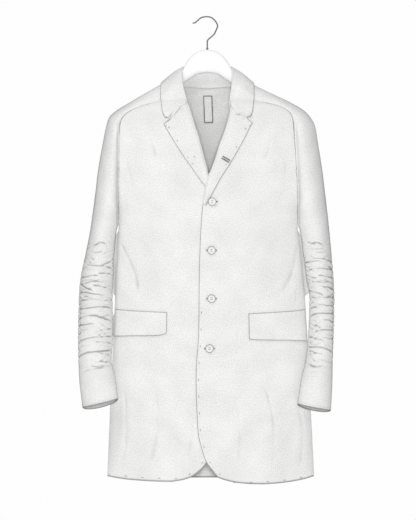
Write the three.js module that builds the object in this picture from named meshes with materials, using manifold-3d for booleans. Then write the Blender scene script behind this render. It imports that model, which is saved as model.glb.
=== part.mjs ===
// Longline blazer on a hanger. Millimetres, +Z up, front faces -Y.
// Origin: inner top of the hanger hook, where the hook rests on a rail.
import * as THREE from 'three';
import Module from 'manifold-3d';

const wasm = await Module();
wasm.setup();

// Driving dimensions
const CENTRE = 6;
const CLOTH = 2;
const SEAM = 0.25;
const LAYER = 0.5;
const TOP_LEVEL = -184;
const SIDE_HEM = -1073;
const HEM_START = -960;
const BUTTON_RADIUS = 9.7;
const HOOK_WIRE = 1.7;
const LAP_PROUD = CLOTH + 0.9;
const NECK_RISE = 22;
const NECK_SAG = 5;
const FOLD_DEPTH = 2.2;
const CRUMPLE_DEPTH = 1.9;
const ARMHOLE_VALLEY = 9;

const V = (x, y, z) => new THREE.Vector3(x, y, z);
const mix = (a, b, t) => a + (b - a) * t;
const clamp = (t) => Math.min(1, Math.max(0, t));
const smooth = (t) => clamp(t) * clamp(t) * (3 - 2 * clamp(t));

// A curve through a table column, with no overshoot between its rows
function curve(rows, key, value) {
  const xs = rows.map((row) => row[key]);
  const ys = rows.map((row) => row[value]);
  const dir = Math.sign(xs[1] - xs[0]);
  const secants = xs.slice(1).map((x, i) => (ys[i + 1] - ys[i]) / (x - xs[i]));
  const slopes = xs.map((x, i) => {
    const a = secants[Math.max(0, i - 1)];
    const b = secants[Math.min(secants.length - 1, i)];
    return a * b <= 0 ? 0 : 2 * a * b / (a + b);
  });
  return (x) => {
    let i = 0;
    while (i < xs.length - 2 && (x - xs[i + 1]) * dir > 0) i += 1;
    const h = xs[i + 1] - xs[i];
    const t = clamp((x - xs[i]) / h);
    const t2 = t * t;
    const t3 = t2 * t;
    return (2 * t3 - 3 * t2 + 1) * ys[i] + (t3 - 2 * t2 + t) * h * slopes[i]
      + (3 * t2 - 2 * t3) * ys[i + 1] + (t3 - t2) * h * slopes[i + 1];
  };
}

// Body by height: half widths to the side or armhole seam on each hand,
// seam depth, and the depth of the front and the back at the middle
const BODY = [
  [-184, 79, 68, 22, 30, 30],
  [-196, 118, 106, 26, 35, 34],
  [-204, 145, 147, 27, 38, 36],
  [-213, 172, 172, 28, 41, 38],
  [-226, 195, 188, 30, 44, 40],
  [-240, 206, 193.5, 31, 47, 41],
  [-258, 210, 195.5, 32, 49, 43],
  [-323, 212, 200, 32, 53, 46],
  [-427, 213, 205, 24, 56, 48],
  [-486, 213.4, 205, 0.6, 57, 48],
  [-535, 215.5, 211, 0, 57, 48],
  [-605, 219.7, 217.6, 0, 54, 47],
  [-661, 222, 223, 0, 52, 46],
  [-918, 233.7, 236.5, 0, 49, 44],
  [-1095, 241, 245, 0, 47, 42],
].map(([z, left, right, seam, front, back]) => ({ z, left, right, seam, front, back }));
const body = Object.fromEntries(
  ['left', 'right', 'seam', 'front', 'back'].map((name) => [name, curve(BODY, 'z', name)]));

// Front edge of each panel, measured from the centre line
const EDGE_LEFT = [
  [-184, -60], [-200, -54], [-222, -45.4], [-242, -40.5], [-273, -30.2], [-305, -21.3],
  [-333, -13.8], [-355, -7.7], [-373, -2.8], [-400, 12], [-440, 27], [-778, 28], [-965, 11],
  [-1038, -8.2], [-1056, -20.8], [-1071, -39.5], [-1079, -60.6], [-1084, -88.7],
].map(([z, x]) => ({ z, x }));
const EDGE_RIGHT = [
  [-184, 53.4], [-200, 50.8], [-222, 48.7], [-242, 44.7], [-273, 34.4], [-305, 22.7],
  [-333, 14.3], [-355, 6], [-373, -2.3], [-404, -9.8], [-436, -16.1], [-465, -19.4],
  [-596, -25], [-731, -26.4], [-841, -32.5], [-963, -28.3], [-1021, -15], [-1038, -8.2],
  [-1056, 3.7], [-1072, 16.6], [-1079, 33], [-1087, 70], [-1091, 122],
].map(([z, x]) => ({ z, x }));
const edge = { left: curve(EDGE_LEFT, 'z', 'x'), right: curve(EDGE_RIGHT, 'z', 'x') };
const hem = { left: -1084, right: -1091, back: -1079 };

// Levels of the seams, shared by every piece that meets at them
const UPPER = [-184, -190, -196, -204, -213, -226, -240, -258, -300, -350, -400, -440, -467, -486];
const LOWER = [-500, -560, -630, -700, -780, -860, -930, -985, -1020, -1038, -1053, -1065, SIDE_HEM];
const LEVELS = [...UPPER, ...LOWER];

// Depth of the body at a place: 0 at the side seam, full at the middle
function depth(x, z, face) {
  const half = x < CENTRE ? body.left(z) : body.right(z);
  const u = clamp(Math.abs(x - CENTRE) / half);
  const profile = Math.pow(1 - Math.pow(u, 2.6), 0.62);
  return body.seam(z) + (body[face](z) - body.seam(z)) * profile;
}
const fold = (x, z) => {
  const cord = Math.sin(z / 61 + x / 70) * Math.sin(x / 37 + z / 400);
  return FOLD_DEPTH * cord * smooth((-z - 500) / 300) * smooth((205 - Math.abs(x - CENTRE)) / 60);
};
const frontY = (x, z) => -depth(x, z, 'front') + fold(x, z);
const backY = (x, z) => depth(x, z, 'back') + fold(x + 90, z);

// The over panel stands one layer proud where it laps the under panel
const lapShare = (x, z) => smooth((CENTRE + 115 - x) / 60) * smooth((-z - 295) / 50);
const overY = (x, z) => frontY(x, z) - LAP_PROUD * lapShare(x, z);

// Back seams rise to the neck, because the back is cut higher than the front
const backRise = (z) => NECK_RISE * Math.pow(clamp((z + 258) / (TOP_LEVEL + 258)), 1.6);

function insetRow(row, amount) {
  const n = row.length - 1;
  const start = row[1].clone().sub(row[0]).setLength(amount);
  const end = row[n - 1].clone().sub(row[n]).setLength(amount);
  row[0].add(start);
  row[n].add(end);
  return row;
}

// Normals of a grid of points, pointing to the visible side
function normals(rows, flip) {
  const m = rows.length - 1;
  return rows.map((row, i) => row.map((p, j) => {
    const n = row.length - 1;
    const a = rows[Math.min(m, i + 1)][j].clone().sub(rows[Math.max(0, i - 1)][j]);
    const b = row[Math.min(n, j + 1)].clone().sub(row[Math.max(0, j - 1)]);
    return a.cross(b).multiplyScalar(flip).normalize();
  }));
}
const sheet = (rows, flip) => ({ rows, flip, norms: normals(rows, flip) });

// Two sheets that meet along a seam get one normal there
function share(a, ia, ja, b, ib, jb) {
  const n = a.norms[ia][ja].clone().add(b.norms[ib][jb]).normalize();
  a.norms[ia][ja] = n;
  b.norms[ib][jb] = n.clone();
}

const group = new THREE.Group();
const colours = { cloth: 0xd9d9d7, pale: 0xe9e7e2, white: 0xf4f4f2, steel: 0xa8a8a8 };
function add(name, geometry, colour, metalness = 0) {
  const material = new THREE.MeshStandardMaterial({ color: colours[colour], roughness: 0.85, metalness });
  const mesh = new THREE.Mesh(geometry, material);
  mesh.name = name;
  group.add(mesh);
}
function soup(points, faces) {
  const geometry = new THREE.BufferGeometry();
  const numbers = points.flatMap((p) => [p.x, p.y, p.z]);
  geometry.setAttribute('position', new THREE.Float32BufferAttribute(numbers, 3));
  geometry.setIndex(faces.flat());
  geometry.computeVertexNormals();
  return geometry;
}

// A wall of cloth: the sheet, a second one inside it, and the rim between
function wall(piece, thickness = CLOTH) {
  const { rows, norms, flip } = piece;
  const m = rows.length;
  const n = rows[0].length;
  const outer = rows.flat();
  const inner = rows.flatMap((row, i) => row.map((p, j) => (
    p.clone().addScaledVector(norms[i][j], -thickness))));
  const points = [...outer, ...inner];
  const k = m * n;
  const faces = [];
  const quad = (a, b, c, d) => {
    const f = flip > 0 ? [[a, b, c], [a, c, d]] : [[a, c, b], [a, d, c]];
    faces.push(...f);
  };
  for (let i = 0; i < m - 1; i += 1) {
    for (let j = 0; j < n - 1; j += 1) {
      const a = i * n + j;
      quad(a, a + n, a + n + 1, a + 1);
      quad(k + a, k + a + 1, k + a + n + 1, k + a + n);
    }
  }
  for (let j = 0; j < n - 1; j += 1) {
    const b = (m - 1) * n + j;
    quad(j, j + 1, k + j + 1, k + j);
    quad(b, k + b, k + b + 1, b + 1);
  }
  for (let i = 0; i < m - 1; i += 1) {
    const a = i * n;
    const b = a + n - 1;
    quad(a, k + a, k + a + n, a + n);
    quad(b, b + n, k + b + n, k + b);
  }
  return soup(points, faces);
}

// Fronts: each row runs from the side to the front edge
const COLUMNS = 11;
function frontPanel(side) {
  const sign = side === 'left' ? -1 : 1;
  const place = side === 'left' ? frontY : overY;
  return LEVELS.map((level) => {
    const t = clamp((HEM_START - level) / (HEM_START - SIDE_HEM));
    const low = level + (hem[side] - SIDE_HEM) * t;
    const half = body[side](level);
    const inner = Math.asin(clamp(sign * edge[side](low) / half * 0.5 + 0.5) * 2 - 1);
    const row = [];
    for (let j = 0; j <= COLUMNS; j += 1) {
      const u = Math.sin(mix(Math.PI / 2, inner, j / COLUMNS));
      const z = mix(low, level, Math.pow(Math.abs(u), 4));
      const x = CENTRE + sign * u * half;
      row.push(V(x, place(x, Math.max(z, hem[side])), z));
    }
    row[0].y = -body.seam(level);
    row[0].z = level;
    return insetRow(row, SEAM);
  });
}

// Back: each row runs from one side to the other
const BACK_COLUMNS = 18;
const backRows = LEVELS.map((level) => {
  const t = clamp((HEM_START - level) / (HEM_START - SIDE_HEM));
  const low = level + (hem.back - SIDE_HEM) * t;
  const sag = -NECK_SAG * clamp((level + 213) / 29);
  const row = [];
  for (let j = 0; j <= BACK_COLUMNS; j += 1) {
    const u = Math.sin(mix(-Math.PI / 2, Math.PI / 2, j / BACK_COLUMNS));
    const half = u < 0 ? body.left(level) : body.right(level);
    const z = mix(low + sag, level, Math.pow(Math.abs(u), 4));
    const x = CENTRE + u * half;
    row.push(V(x, backY(x, level), z + backRise(level)));
  }
  row[0].y = body.seam(level);
  row[BACK_COLUMNS].y = body.seam(level);
  return insetRow(row, SEAM);
});

// Sleeves: outer edge and inner edge by station, with depth, forward shift and tube share
const SLEEVE_LEFT = [
  [-184, 84, -141, 0, 6, 0, 0], [-196, 124, -162, 0, 7, 0, 0.05], [-213, 189, -200, 0, 8, 0, 0.15],
  [-226, 221, -220, 0, 14, 0, 0.35], [-240, 236, -235, 0, 20, 0, 0.5], [-258, 241.5, -252, 0, 25, 0, 0.7],
  [-300, 251.3, -298, 0, 30, 0, 0.8], [-350, 260.5, -350, 0, 36, 0, 0.9],
  [-427, 270.3, -427, 0, 42, 0, 1], [-486, 278, -486, 213.4, 47, 0, 1],
  [-500, 280.3, -502, 218.5, 48, 0, 1], [-560, 292, -562, 224, 48, -5, 1],
  [-605, 301, -607, 226, 47, -9, 1], [-661, 305.8, -662, 227.7, 44, -16, 1],
  [-750, 307, -752, 227, 41, -26, 1], [-800, 306, -803, 230, 39, -34, 1],
  [-841, 303.7, -847, 220, 37, -45, 1], [-902, 295.8, -910, 213, 34, -60, 1],
];
const SLEEVE_RIGHT = [
  [-184, 72, -141, 0, 6, 0, 0], [-196, 113, -163, 0, 7, 0, 0.05], [-213, 190, -200, 0, 8, 0, 0.15],
  [-226, 220, -218, 0, 14, 0, 0.35], [-240, 235, -234, 0, 20, 0, 0.5], [-258, 245, -252, 0, 25, 0, 0.7],
  [-300, 254, -300, 0, 30, 0, 0.8], [-350, 262, -350, 0, 36, 0, 0.9], [-427, 271.7, -427, 0, 42, 0, 1],
  [-486, 278, -486, 205, 47, 0, 1], [-500, 279.4, -502, 211, 48, 0, 1], [-560, 284.5, -562, 219, 48, -5, 1],
  [-605, 288, -607, 225, 47, -9, 1], [-661, 290.2, -662, 233, 42, -16, 1],
  [-750, 288, -752, 229.6, 40, -26, 1], [-800, 286, -803, 224, 39, -34, 1],
  [-841, 285, -847, 213, 37, -45, 1], [-902, 281, -910, 203, 34, -60, 1],
];
const asSleeve = (rows) => rows.map(([z, outer, outerZ, inner, bulge, shift, tube]) => (
  { z, outer, outerZ, inner, bulge, shift, tube }));
// The elbow seam parts each sleeve into an upper piece and a forearm
const ELBOW_SEAM = -526;
const ELBOW = [-500, -516, ELBOW_SEAM + SEAM, ELBOW_SEAM - SEAM, -540, -560, -578, -596, -612, -630, -648,
  -664, -682, -698, -716, -734, -752, -768, -784, -800, -820, -841, -870, -902];
const SLEEVE_COLUMNS = 16;
const crumple = (z, side) => {
  const size = CRUMPLE_DEPTH * smooth((-z - 540) / 60) * smooth((z + 880) / 60);
  return size * (Math.sin(z / 5.7 + side) + 0.6 * Math.sin(z / 9.1 + 2 * side));
};
function sleeve(side) {
  const sign = side === 'left' ? -1 : 1;
  const table = asSleeve(side === 'left' ? SLEEVE_LEFT : SLEEVE_RIGHT);
  const at = Object.fromEntries(Object.keys(table[0]).map((name) => [name, curve(table, 'z', name)]));
  return [...UPPER, ...ELBOW].map((z, i) => {
    const open = i < UPPER.length;
    const inner = open ? body[side](z) : at.inner(z);
    const seam = open ? body.seam(z) : 0;
    const front = V(CENTRE + sign * inner, -seam, z);
    const back = V(CENTRE + sign * inner, seam, z + (open ? backRise(z) : 0));
    const outer = V(CENTRE + sign * at.outer(z), 0, at.outerZ(z));
    const tube = at.tube(z);
    const valleyShare = open ? ARMHOLE_VALLEY * tube * smooth((-z - 240) / 40) : 0;
    const row = [];
    for (let j = 0; j <= SLEEVE_COLUMNS; j += 1) {
      const turn = Math.PI * 2 * j / SLEEVE_COLUMNS;
      const half = turn <= Math.PI ? turn : Math.PI * 2 - turn;
      const from = turn <= Math.PI ? front : back;
      const hand = turn <= Math.PI ? -1 : 1;
      const out = mix(Math.sin(half / 2), (1 - Math.cos(half)) / 2, tube);
      const keep = mix(Math.cos(half / 2), Math.cos(half / 2) ** 2, tube);
      const p = from.clone().lerp(outer, out);
      const wave = crumple(z + 14 * Math.sin(half * 2 + i), sign) * Math.sin(half);
      const valley = valleyShare * Math.exp(-(((half - 0.35) / 0.22) ** 2));
      p.y = from.y * keep + hand * (tube * at.bulge(z) * Math.sin(half) + wave - valley) + at.shift(z);
      row.push(p);
    }
    return insetRow(row, SEAM);
  });
}

const parts = {
  front_left: sheet(frontPanel('left'), 1),
  front_right: sheet(frontPanel('right'), -1),
  back: sheet(backRows, -1),
  sleeve_left: sheet(sleeve('left'), -1),
  sleeve_right: sheet(sleeve('right'), 1),
};
const sides = [['front_left', 'sleeve_left', 0], ['front_right', 'sleeve_right', BACK_COLUMNS]];
const armpit = UPPER.length - 1;
sides.forEach(([front, arm, j]) => {
  UPPER.forEach((level, i) => {
    share(parts[front], i, 0, parts[arm], i, 0);
    share(parts.back, i, j, parts[arm], i, SLEEVE_COLUMNS);
  });
  LOWER.forEach((level, i) => share(parts[front], i + armpit + 1, 0, parts.back, i + armpit + 1, j));
  ELBOW.forEach((level, i) => {
    share(parts[arm], i + armpit + 1, 0, parts[arm], i + armpit + 1, SLEEVE_COLUMNS);
  });
  // The body and the sleeve turn away from each other below the armpit
  const under = V(0, 0, -1);
  parts[front].norms[armpit][0] = under;
  parts.back.norms[armpit][j] = under;
  parts[arm].norms[armpit][0] = under;
  parts[arm].norms[armpit][SLEEVE_COLUMNS] = under;
});
const elbow = UPPER.length + ELBOW.indexOf(ELBOW_SEAM - SEAM);
const stretch = ({ rows, norms, flip }, from, to) => (
  { rows: rows.slice(from, to), norms: norms.slice(from, to), flip });
['left', 'right'].forEach((side) => {
  const whole = parts[`sleeve_${side}`];
  parts[`sleeve_${side}`] = stretch(whole, 0, elbow);
  parts[`forearm_${side}`] = stretch(whole, elbow);
});

// Lapels: the roll line runs up the front edge, the tip lies out on the front
const LAPEL_LEFT = [
  [0, -203, -102, -251], [0.15, -224, -94, -265], [0.3, -250, -82.5, -284], [0.5, -285, -62, -317],
  [0.7, -318, -41, -347], [0.85, -345, -24, -371.5], [1, -370, -5, -397],
].map(([s, roll, x, z]) => ({ s, roll, x, z }));
const LAPEL_RIGHT = [
  [0, -212, 105.5, -248.5], [0.12, -226, 96, -265], [0.25, -250, 85, -288], [0.42, -290, 68.5, -318],
  [0.6, -330, 50, -348.5], [0.75, -365, 32, -377], [0.88, -400, 14, -409.5], [1, -436, -2.5, -441],
].map(([s, roll, x, z]) => ({ s, roll, x, z }));
// The seam between collar and lapel, from the roll to the inner end of the notch
const GORGE_LEFT = [
  [0, -47.5, -201.5], [0.3, -60.5, -211], [0.55, -74.4, -227], [0.72, -84.7, -237], [1, -102, -251],
].map(([t, x, z]) => ({ t, x, z }));
const GORGE_RIGHT = [
  [0, 55.8, -211], [0.3, 68, -228], [0.55, 82, -231.5], [0.72, 90, -236], [1, 105.5, -248.5],
].map(([t, x, z]) => ({ t, x, z }));
const NOTCH_START = 0.72;
const gorge = {
  left: { x: curve(GORGE_LEFT, 't', 'x'), z: curve(GORGE_LEFT, 't', 'z') },
  right: { x: curve(GORGE_RIGHT, 't', 'x'), z: curve(GORGE_RIGHT, 't', 'z') },
};
const ROLL_SPRING = 4;
const faceOf = (side, x, z) => (side === 'left' ? frontY(x, z) : overY(x, z));
const springAt = (t) => ROLL_SPRING * Math.sin(Math.PI * Math.sqrt(clamp(t)));
const layerY = (side, x, z, t) => faceOf(side, x, z) - CLOTH - LAYER - springAt(t);
const LAPEL_ROWS = 12;
const LAPEL_COLUMNS = 6;
function lapel(side) {
  const table = side === 'left' ? LAPEL_LEFT : LAPEL_RIGHT;
  const at = Object.fromEntries(['roll', 'x', 'z'].map((name) => [name, curve(table, 's', name)]));
  const rows = [];
  for (let i = 0; i <= LAPEL_ROWS; i += 1) {
    const s = i / LAPEL_ROWS;
    const rollZ = at.roll(s);
    const rollX = CENTRE + edge[side](rollZ);
    const bend = (1 - clamp(s * 3)) ** 2;
    const row = [];
    for (let j = 0; j <= LAPEL_COLUMNS; j += 1) {
      const t = j / LAPEL_COLUMNS;
      const x = mix(mix(rollX, at.x(s), t), gorge[side].x(t), bend);
      const z = mix(mix(rollZ, at.z(s), t), gorge[side].z(t) - 0.5, bend);
      row.push(V(x, layerY(side, x, z, t), z));
    }
    rows.push(row);
  }
  return rows;
}
parts.lapel_left = sheet(lapel('left'), -1);
parts.lapel_right = sheet(lapel('right'), 1);

// Collar by station from the gorge to the middle of the back: roll, bulge and outer edge
const FALL = [
  [47.5, -38, -200, 70, -46, -212, 102, -33, -232], [53.5, -36, -182, 76, -41, -190, 108, -32, -214],
  [60.5, -30, -158, 82, -36, -163, 109.5, -29, -188], [61.5, -15, -134, 86, -18, -141, 109.5, -16, -162],
  [60.5, 2, -118, 84, 3, -129, 109, 3, -152.5], [56, 18, -115.5, 80, 26, -126, 105, 24, -163],
  [46, 29, -116, 62, 44, -124, 89, 37, -183], [25, 36, -117, 32, 53, -134, 50, 43, -192],
  [0, 38, -117.5, 0, 55, -136, 0, 44, -194],
];
const fallCurve = [0, 3, 6].map((k) => new THREE.CatmullRomCurve3([
  ...FALL.map((row) => V(-row[k], row[k + 1], row[k + 2])),
  ...FALL.slice(0, -1).reverse().map((row) => V(row[k], row[k + 1], row[k + 2])),
]));
const FALL_STATIONS = 32;
const FALL_COLUMNS = 6;
const fallRows = [];
for (let i = 0; i <= FALL_STATIONS; i += 1) {
  const s = i / FALL_STATIONS;
  const [roll, bulge, outer] = fallCurve.map((c) => c.getPoint(s));
  const side = s < 0.5 ? 'left' : 'right';
  const near = clamp(1 - Math.min(s, 1 - s) * 8);
  const row = [];
  for (let j = 0; j <= FALL_COLUMNS; j += 1) {
    const t = j / FALL_COLUMNS;
    const p = roll.clone().multiplyScalar((1 - t) ** 2)
      .addScaledVector(bulge, 2 * t * (1 - t)).addScaledVector(outer, t * t);
    if (near > 0) {
      const notch = clamp((t - NOTCH_START) / (1 - NOTCH_START));
      const gx = gorge[side].x(mix(t, NOTCH_START, notch)) + notch * (side === 'left' ? -15.5 : 11.5);
      const gz = gorge[side].z(mix(t, NOTCH_START, notch)) + 0.5 + 1.5 * notch;
      p.x = mix(p.x, gx, near);
      p.z = mix(p.z, gz, near);
    }
    if (p.y < 0 && p.z < -186) p.y = mix(p.y, layerY(side, p.x, p.z, t) - 0.4, smooth((-186 - p.z) / 14));
    row.push(p);
  }
  fallRows.push(row);
}
parts.collar_fall = sheet(fallRows, 1);

// Stand: from the neck seam up to just under the roll
const STAND = [
  [63, -27, -182.5, 58.5, -28.5, -172], [72, -20.5, -172, 61.5, -24, -160], [73, -12.5, -148, 62, -14, -141],
  [74, 1, -140, 61.5, 1.5, -126], [72, 13, -146, 57, 15, -123], [68, 18.5, -160.5, 47, 25.5, -121.5],
  [42, 25.5, -164, 26, 31.5, -122.5], [0, 28, -165.8, 0, 33.5, -123],
];
const standCurve = [0, 3].map((k) => new THREE.CatmullRomCurve3([
  ...STAND.map((row) => V(-row[k], row[k + 1], row[k + 2])),
  ...STAND.slice(0, -1).reverse().map((row) => V(row[k], row[k + 1], row[k + 2])),
]));
const STAND_STATIONS = 28;
const standRows = [];
for (let i = 0; i <= STAND_STATIONS; i += 1) {
  const [foot, top] = standCurve.map((c) => c.getPoint(i / STAND_STATIONS));
  standRows.push([foot, foot.clone().lerp(top, 0.5), top]);
}
parts.collar_stand = sheet(standRows, 1);

// Pocket flaps lie on the fronts, one layer out
const FLAP_COLUMNS = 7;
function flap(side, front, rear, top, bottom, round) {
  const sign = side === 'left' ? -1 : 1;
  const rows = [];
  for (let i = 0; i <= 3; i += 1) {
    const row = [];
    for (let j = 0; j <= FLAP_COLUMNS; j += 1) {
      const t = j / FLAP_COLUMNS;
      const angle = mix(rear, front, t);
      const low = bottom(t) + round * Math.max(0, t - 0.9) * 10;
      const z = mix(top(t), low, i / 3);
      const half = body[side](z);
      const x = CENTRE + sign * Math.sin(angle) * half;
      row.push(V(x, faceOf(side, x, z), z));
    }
    rows.push(row);
  }
  const flat = sheet(rows, side === 'left' ? 1 : -1);
  const lifted = rows.map((row, i) => row.map((p, j) => (
    p.clone().addScaledVector(flat.norms[i][j], CLOTH + LAYER + 0.2))));
  return sheet(lifted, flat.flip);
}
const degrees = Math.PI / 180;
parts.flap_left = flap('left', 26.5 * degrees, 79 * degrees, (t) => -682 - 7 * t, (t) => -746 + 3 * t, 9);
parts.flap_right = flap('right', 23.5 * degrees, 79 * degrees, (t) => -683 - 9 * t, (t) => -757 + 4 * t, 0);

Object.entries(parts).forEach(([name, piece]) => add(name, wall(piece), 'cloth'));

// Label: a bare patch inside the back, below the neck seam
const LABEL = { left: -9.1, right: 10.8, top: -182, bottom: -244.5, lean: 2.3, cloth: 1 };
function insideBack(x, z) {
  let level = z;
  for (let i = 0; i < 5; i += 1) level = z - backRise(level);
  return backY(x, level) - CLOTH;
}
const labelRows = [0, 0.33, 0.67, 1].map((s) => [LABEL.left, LABEL.right].map((edgeX) => {
  const x = edgeX + LABEL.lean * s;
  const z = mix(LABEL.top, LABEL.bottom, s);
  return V(x, insideBack(x, z) - LABEL.cloth - 0.8, z);
}));
add('label', wall(sheet(labelRows, 1), LABEL.cloth), 'pale');

// Buttons: a turned disc with a raised rim and four holes
function toManifold(geometry) {
  const position = geometry.attributes.position.array;
  const keys = new Map();
  const points = [];
  const index = [];
  for (let i = 0; i < position.length; i += 3) {
    const key = [0, 1, 2].map((k) => Math.round(position[i + k] * 1e4)).join();
    if (!keys.has(key)) {
      keys.set(key, points.length / 3);
      points.push(position[i], position[i + 1], position[i + 2]);
    }
    index.push(keys.get(key));
  }
  const order = geometry.index ? Array.from(geometry.index.array, (k) => index[k]) : index;
  const faces = [];
  for (let i = 0; i < order.length; i += 3) {
    const [a, b, c] = order.slice(i, i + 3);
    if (a !== b && b !== c && c !== a) faces.push(a, b, c);
  }
  return new wasm.Manifold(new wasm.Mesh({
    numProp: 3, vertProperties: new Float32Array(points), triVerts: new Uint32Array(faces),
  }));
}
function fromManifold(solid) {
  const mesh = solid.getMesh();
  const geometry = new THREE.BufferGeometry();
  geometry.setAttribute('position', new THREE.BufferAttribute(new Float32Array(mesh.vertProperties), 3));
  geometry.setIndex(Array.from(mesh.triVerts));
  geometry.computeVertexNormals();
  return geometry;
}
const BUTTON = { radius: BUTTON_RADIUS, height: 3.2, floor: 2.2, hole: 1, spread: 2.1, sides: 18 };
const profile = [
  [0, 0], [BUTTON.radius - 0.8, 0], [BUTTON.radius, 0.9], [BUTTON.radius, 2.4],
  [BUTTON.radius - 0.7, BUTTON.height], [BUTTON.radius - 2, BUTTON.height],
  [BUTTON.radius - 2.9, BUTTON.floor], [0, BUTTON.floor],
].map(([x, y]) => new THREE.Vector2(x, y));
let disc = toManifold(new THREE.LatheGeometry(profile, BUTTON.sides));
[[1, 1], [1, -1], [-1, 1], [-1, -1]].forEach(([a, b]) => {
  const bore = new THREE.CylinderGeometry(BUTTON.hole, BUTTON.hole, 9, 6);
  bore.translate(a * BUTTON.spread, 1, b * BUTTON.spread);
  disc = disc.subtract(toManifold(bore));
});
// Lift of each button off the front: the first lies on the end of the lapel
const BUTTONS = [[11.2, -432.2, 3.1, 4], [9.8, -545, 0.6, 0], [9.6, -657.3, 0.6, 0], [5.1, -773.4, 0.6, 0]];
BUTTONS.forEach(([x, z, lift, tilt], i) => {
  const geometry = fromManifold(disc);
  geometry.rotateX(Math.PI);
  geometry.rotateY(tilt * degrees);
  geometry.translate(x, overY(x, z) - lift, z);
  add(`button_${i + 1}`, geometry, 'pale');
});

// Hanger: a plain shaped bar with a domed neck, and a wire hook
const HANGER = [
  [0, -75.3, -129, 6.5], [20, -78.6, -131.5, 6.5], [34, -87.4, -139, 6.8], [45, -99.5, -146.5, 7],
  [53, -112, -152, 7.5], [62, -134, -160, 8], [80, -151, -174, 9], [120, -168, -193, 11],
  [160, -189, -218, 13], [200, -214.5, -242, 15], [217, -227, -248, 15], [224, -235, -246, 9],
].map(([x, top, bottom, thick]) => ({ x, top, bottom, thick }));
const HANGER_SIDES = 10;
const hangerLeft = HANGER.slice(1).reverse().map((row) => ({ ...row, x: -row.x }));
const hangerRings = [...hangerLeft, ...HANGER].map((row) => {
  const ring = [];
  for (let k = 0; k < HANGER_SIDES; k += 1) {
    const turn = Math.PI * 2 * k / HANGER_SIDES + Math.PI / 2;
    const c = Math.cos(turn);
    const n = Math.sin(turn);
    const y = Math.sign(c) * Math.abs(c) ** 0.7 * row.thick;
    const z = mix(row.bottom, row.top, 0.5 + 0.5 * Math.sign(n) * Math.abs(n) ** 0.7);
    ring.push(V(row.x, y, z));
  }
  return ring;
});
const hangerFaces = [];
const last = hangerRings.length - 1;
for (let i = 0; i < last; i += 1) {
  for (let k = 0; k < HANGER_SIDES; k += 1) {
    const a = i * HANGER_SIDES + k;
    const b = i * HANGER_SIDES + (k + 1) % HANGER_SIDES;
    hangerFaces.push([a, b, b + HANGER_SIDES], [a, b + HANGER_SIDES, a + HANGER_SIDES]);
  }
}
for (let k = 1; k < HANGER_SIDES - 1; k += 1) {
  hangerFaces.push([0, k + 1, k]);
  hangerFaces.push([last * HANGER_SIDES, last * HANGER_SIDES + k, last * HANGER_SIDES + k + 1]);
}
add('hanger_body', soup(hangerRings.flat(), hangerFaces), 'white');

const hookPath = new THREE.CatmullRomCurve3([
  [-34.5, -13.2], [-28.5, -12], [-23, -7.6], [-17.5, -2.6], [-10.5, 0.8], [0, HOOK_WIRE], [9, 0],
  [16.2, -5.6], [21.2, -12], [24, -19], [22.5, -25.5], [19.6, -32], [15.5, -39.5], [7.5, -46.8],
  [1.2, -52.8], [0, -58], [0, -68], [0, -75],
].map(([x, z]) => V(x, 0, z)));
const HOOK_SIDES = 8;
const HOOK_STEPS = 44;
const wire = new THREE.Shape(Array.from({ length: HOOK_SIDES }, (_, k) => {
  const turn = Math.PI * 2 * (k + 0.5) / HOOK_SIDES;
  return new THREE.Vector2(HOOK_WIRE * Math.cos(turn), HOOK_WIRE * Math.sin(turn));
}));
const hookSweep = { steps: HOOK_STEPS, extrudePath: hookPath, bevelEnabled: false };
const hook = new THREE.ExtrudeGeometry(wire, hookSweep);
add('hanger_hook', hook, 'steel', 0.9);

export default group;
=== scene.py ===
"""Longline blazer on its hanger, dressed in cloth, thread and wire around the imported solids."""
import math

import bpy
import numpy as np
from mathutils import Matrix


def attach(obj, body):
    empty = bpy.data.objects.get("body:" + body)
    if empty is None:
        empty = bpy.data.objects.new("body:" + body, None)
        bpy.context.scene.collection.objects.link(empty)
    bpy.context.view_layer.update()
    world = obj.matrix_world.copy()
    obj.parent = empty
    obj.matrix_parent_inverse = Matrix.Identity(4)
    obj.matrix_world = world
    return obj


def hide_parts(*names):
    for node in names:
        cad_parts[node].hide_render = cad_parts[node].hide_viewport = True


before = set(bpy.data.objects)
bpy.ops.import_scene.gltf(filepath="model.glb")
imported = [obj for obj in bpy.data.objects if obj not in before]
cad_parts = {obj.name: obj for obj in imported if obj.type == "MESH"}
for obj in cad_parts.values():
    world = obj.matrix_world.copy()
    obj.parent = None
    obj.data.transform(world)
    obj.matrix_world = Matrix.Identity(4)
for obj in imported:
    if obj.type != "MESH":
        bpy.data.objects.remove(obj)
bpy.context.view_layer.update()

bl_info = {
    "name": "Longline blazer on hanger",
    "version": (1, 0, 0),
    "blender": (4, 5, 0),
    "location": "View3D > Sidebar > Blazer",
    "description": "Builds a longline blazer hanging on a domed hanger",
    "category": "Object",
}

# Sizes in millimetres, as in the part's source; left and right are those of the photograph
SIGN = {"left": -1, "right": 1}
CENTRE = 6
TOP_LEVEL = -184
SIDE_HEM = -1073
HEM_START = -960
ARMPIT = -486
HEM = {"left": -1084, "right": -1091, "back": -1079}
NECK_RISE = 22
RISE_START = -258
SIDE_TURN = 0.985
FOLD_DEPTH = 2.2
DRAG_SHARE = 0.45
RUMPLE_SHARE = 0.7
# How far the over panel, the lapels, the fall and the flaps stand out, and the bulge of a turned edge
LAP_LIFT = 2.9
LAPEL_LIFT = 2.5
FALL_LIFT = 2.9
FLAP_LIFT = 2.5
ROLL_BULGE = 4
# Puckers along the seams, the width of a sleeve laid flat, and the seams across it
SEAM_PITCH = 2.1
SEAM_REACH = 7
SLEEVE_SPAN = 85
SLEEVE_LINES = (-527, -778, -812)
ELBOW = (-465, -850)
SLEEVE_CREASES = 1.5
SLEEVE_CRINKLE = 2.0
CUFF_ROW = -896.5
CUFF_PITCH = 0.0125
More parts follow.
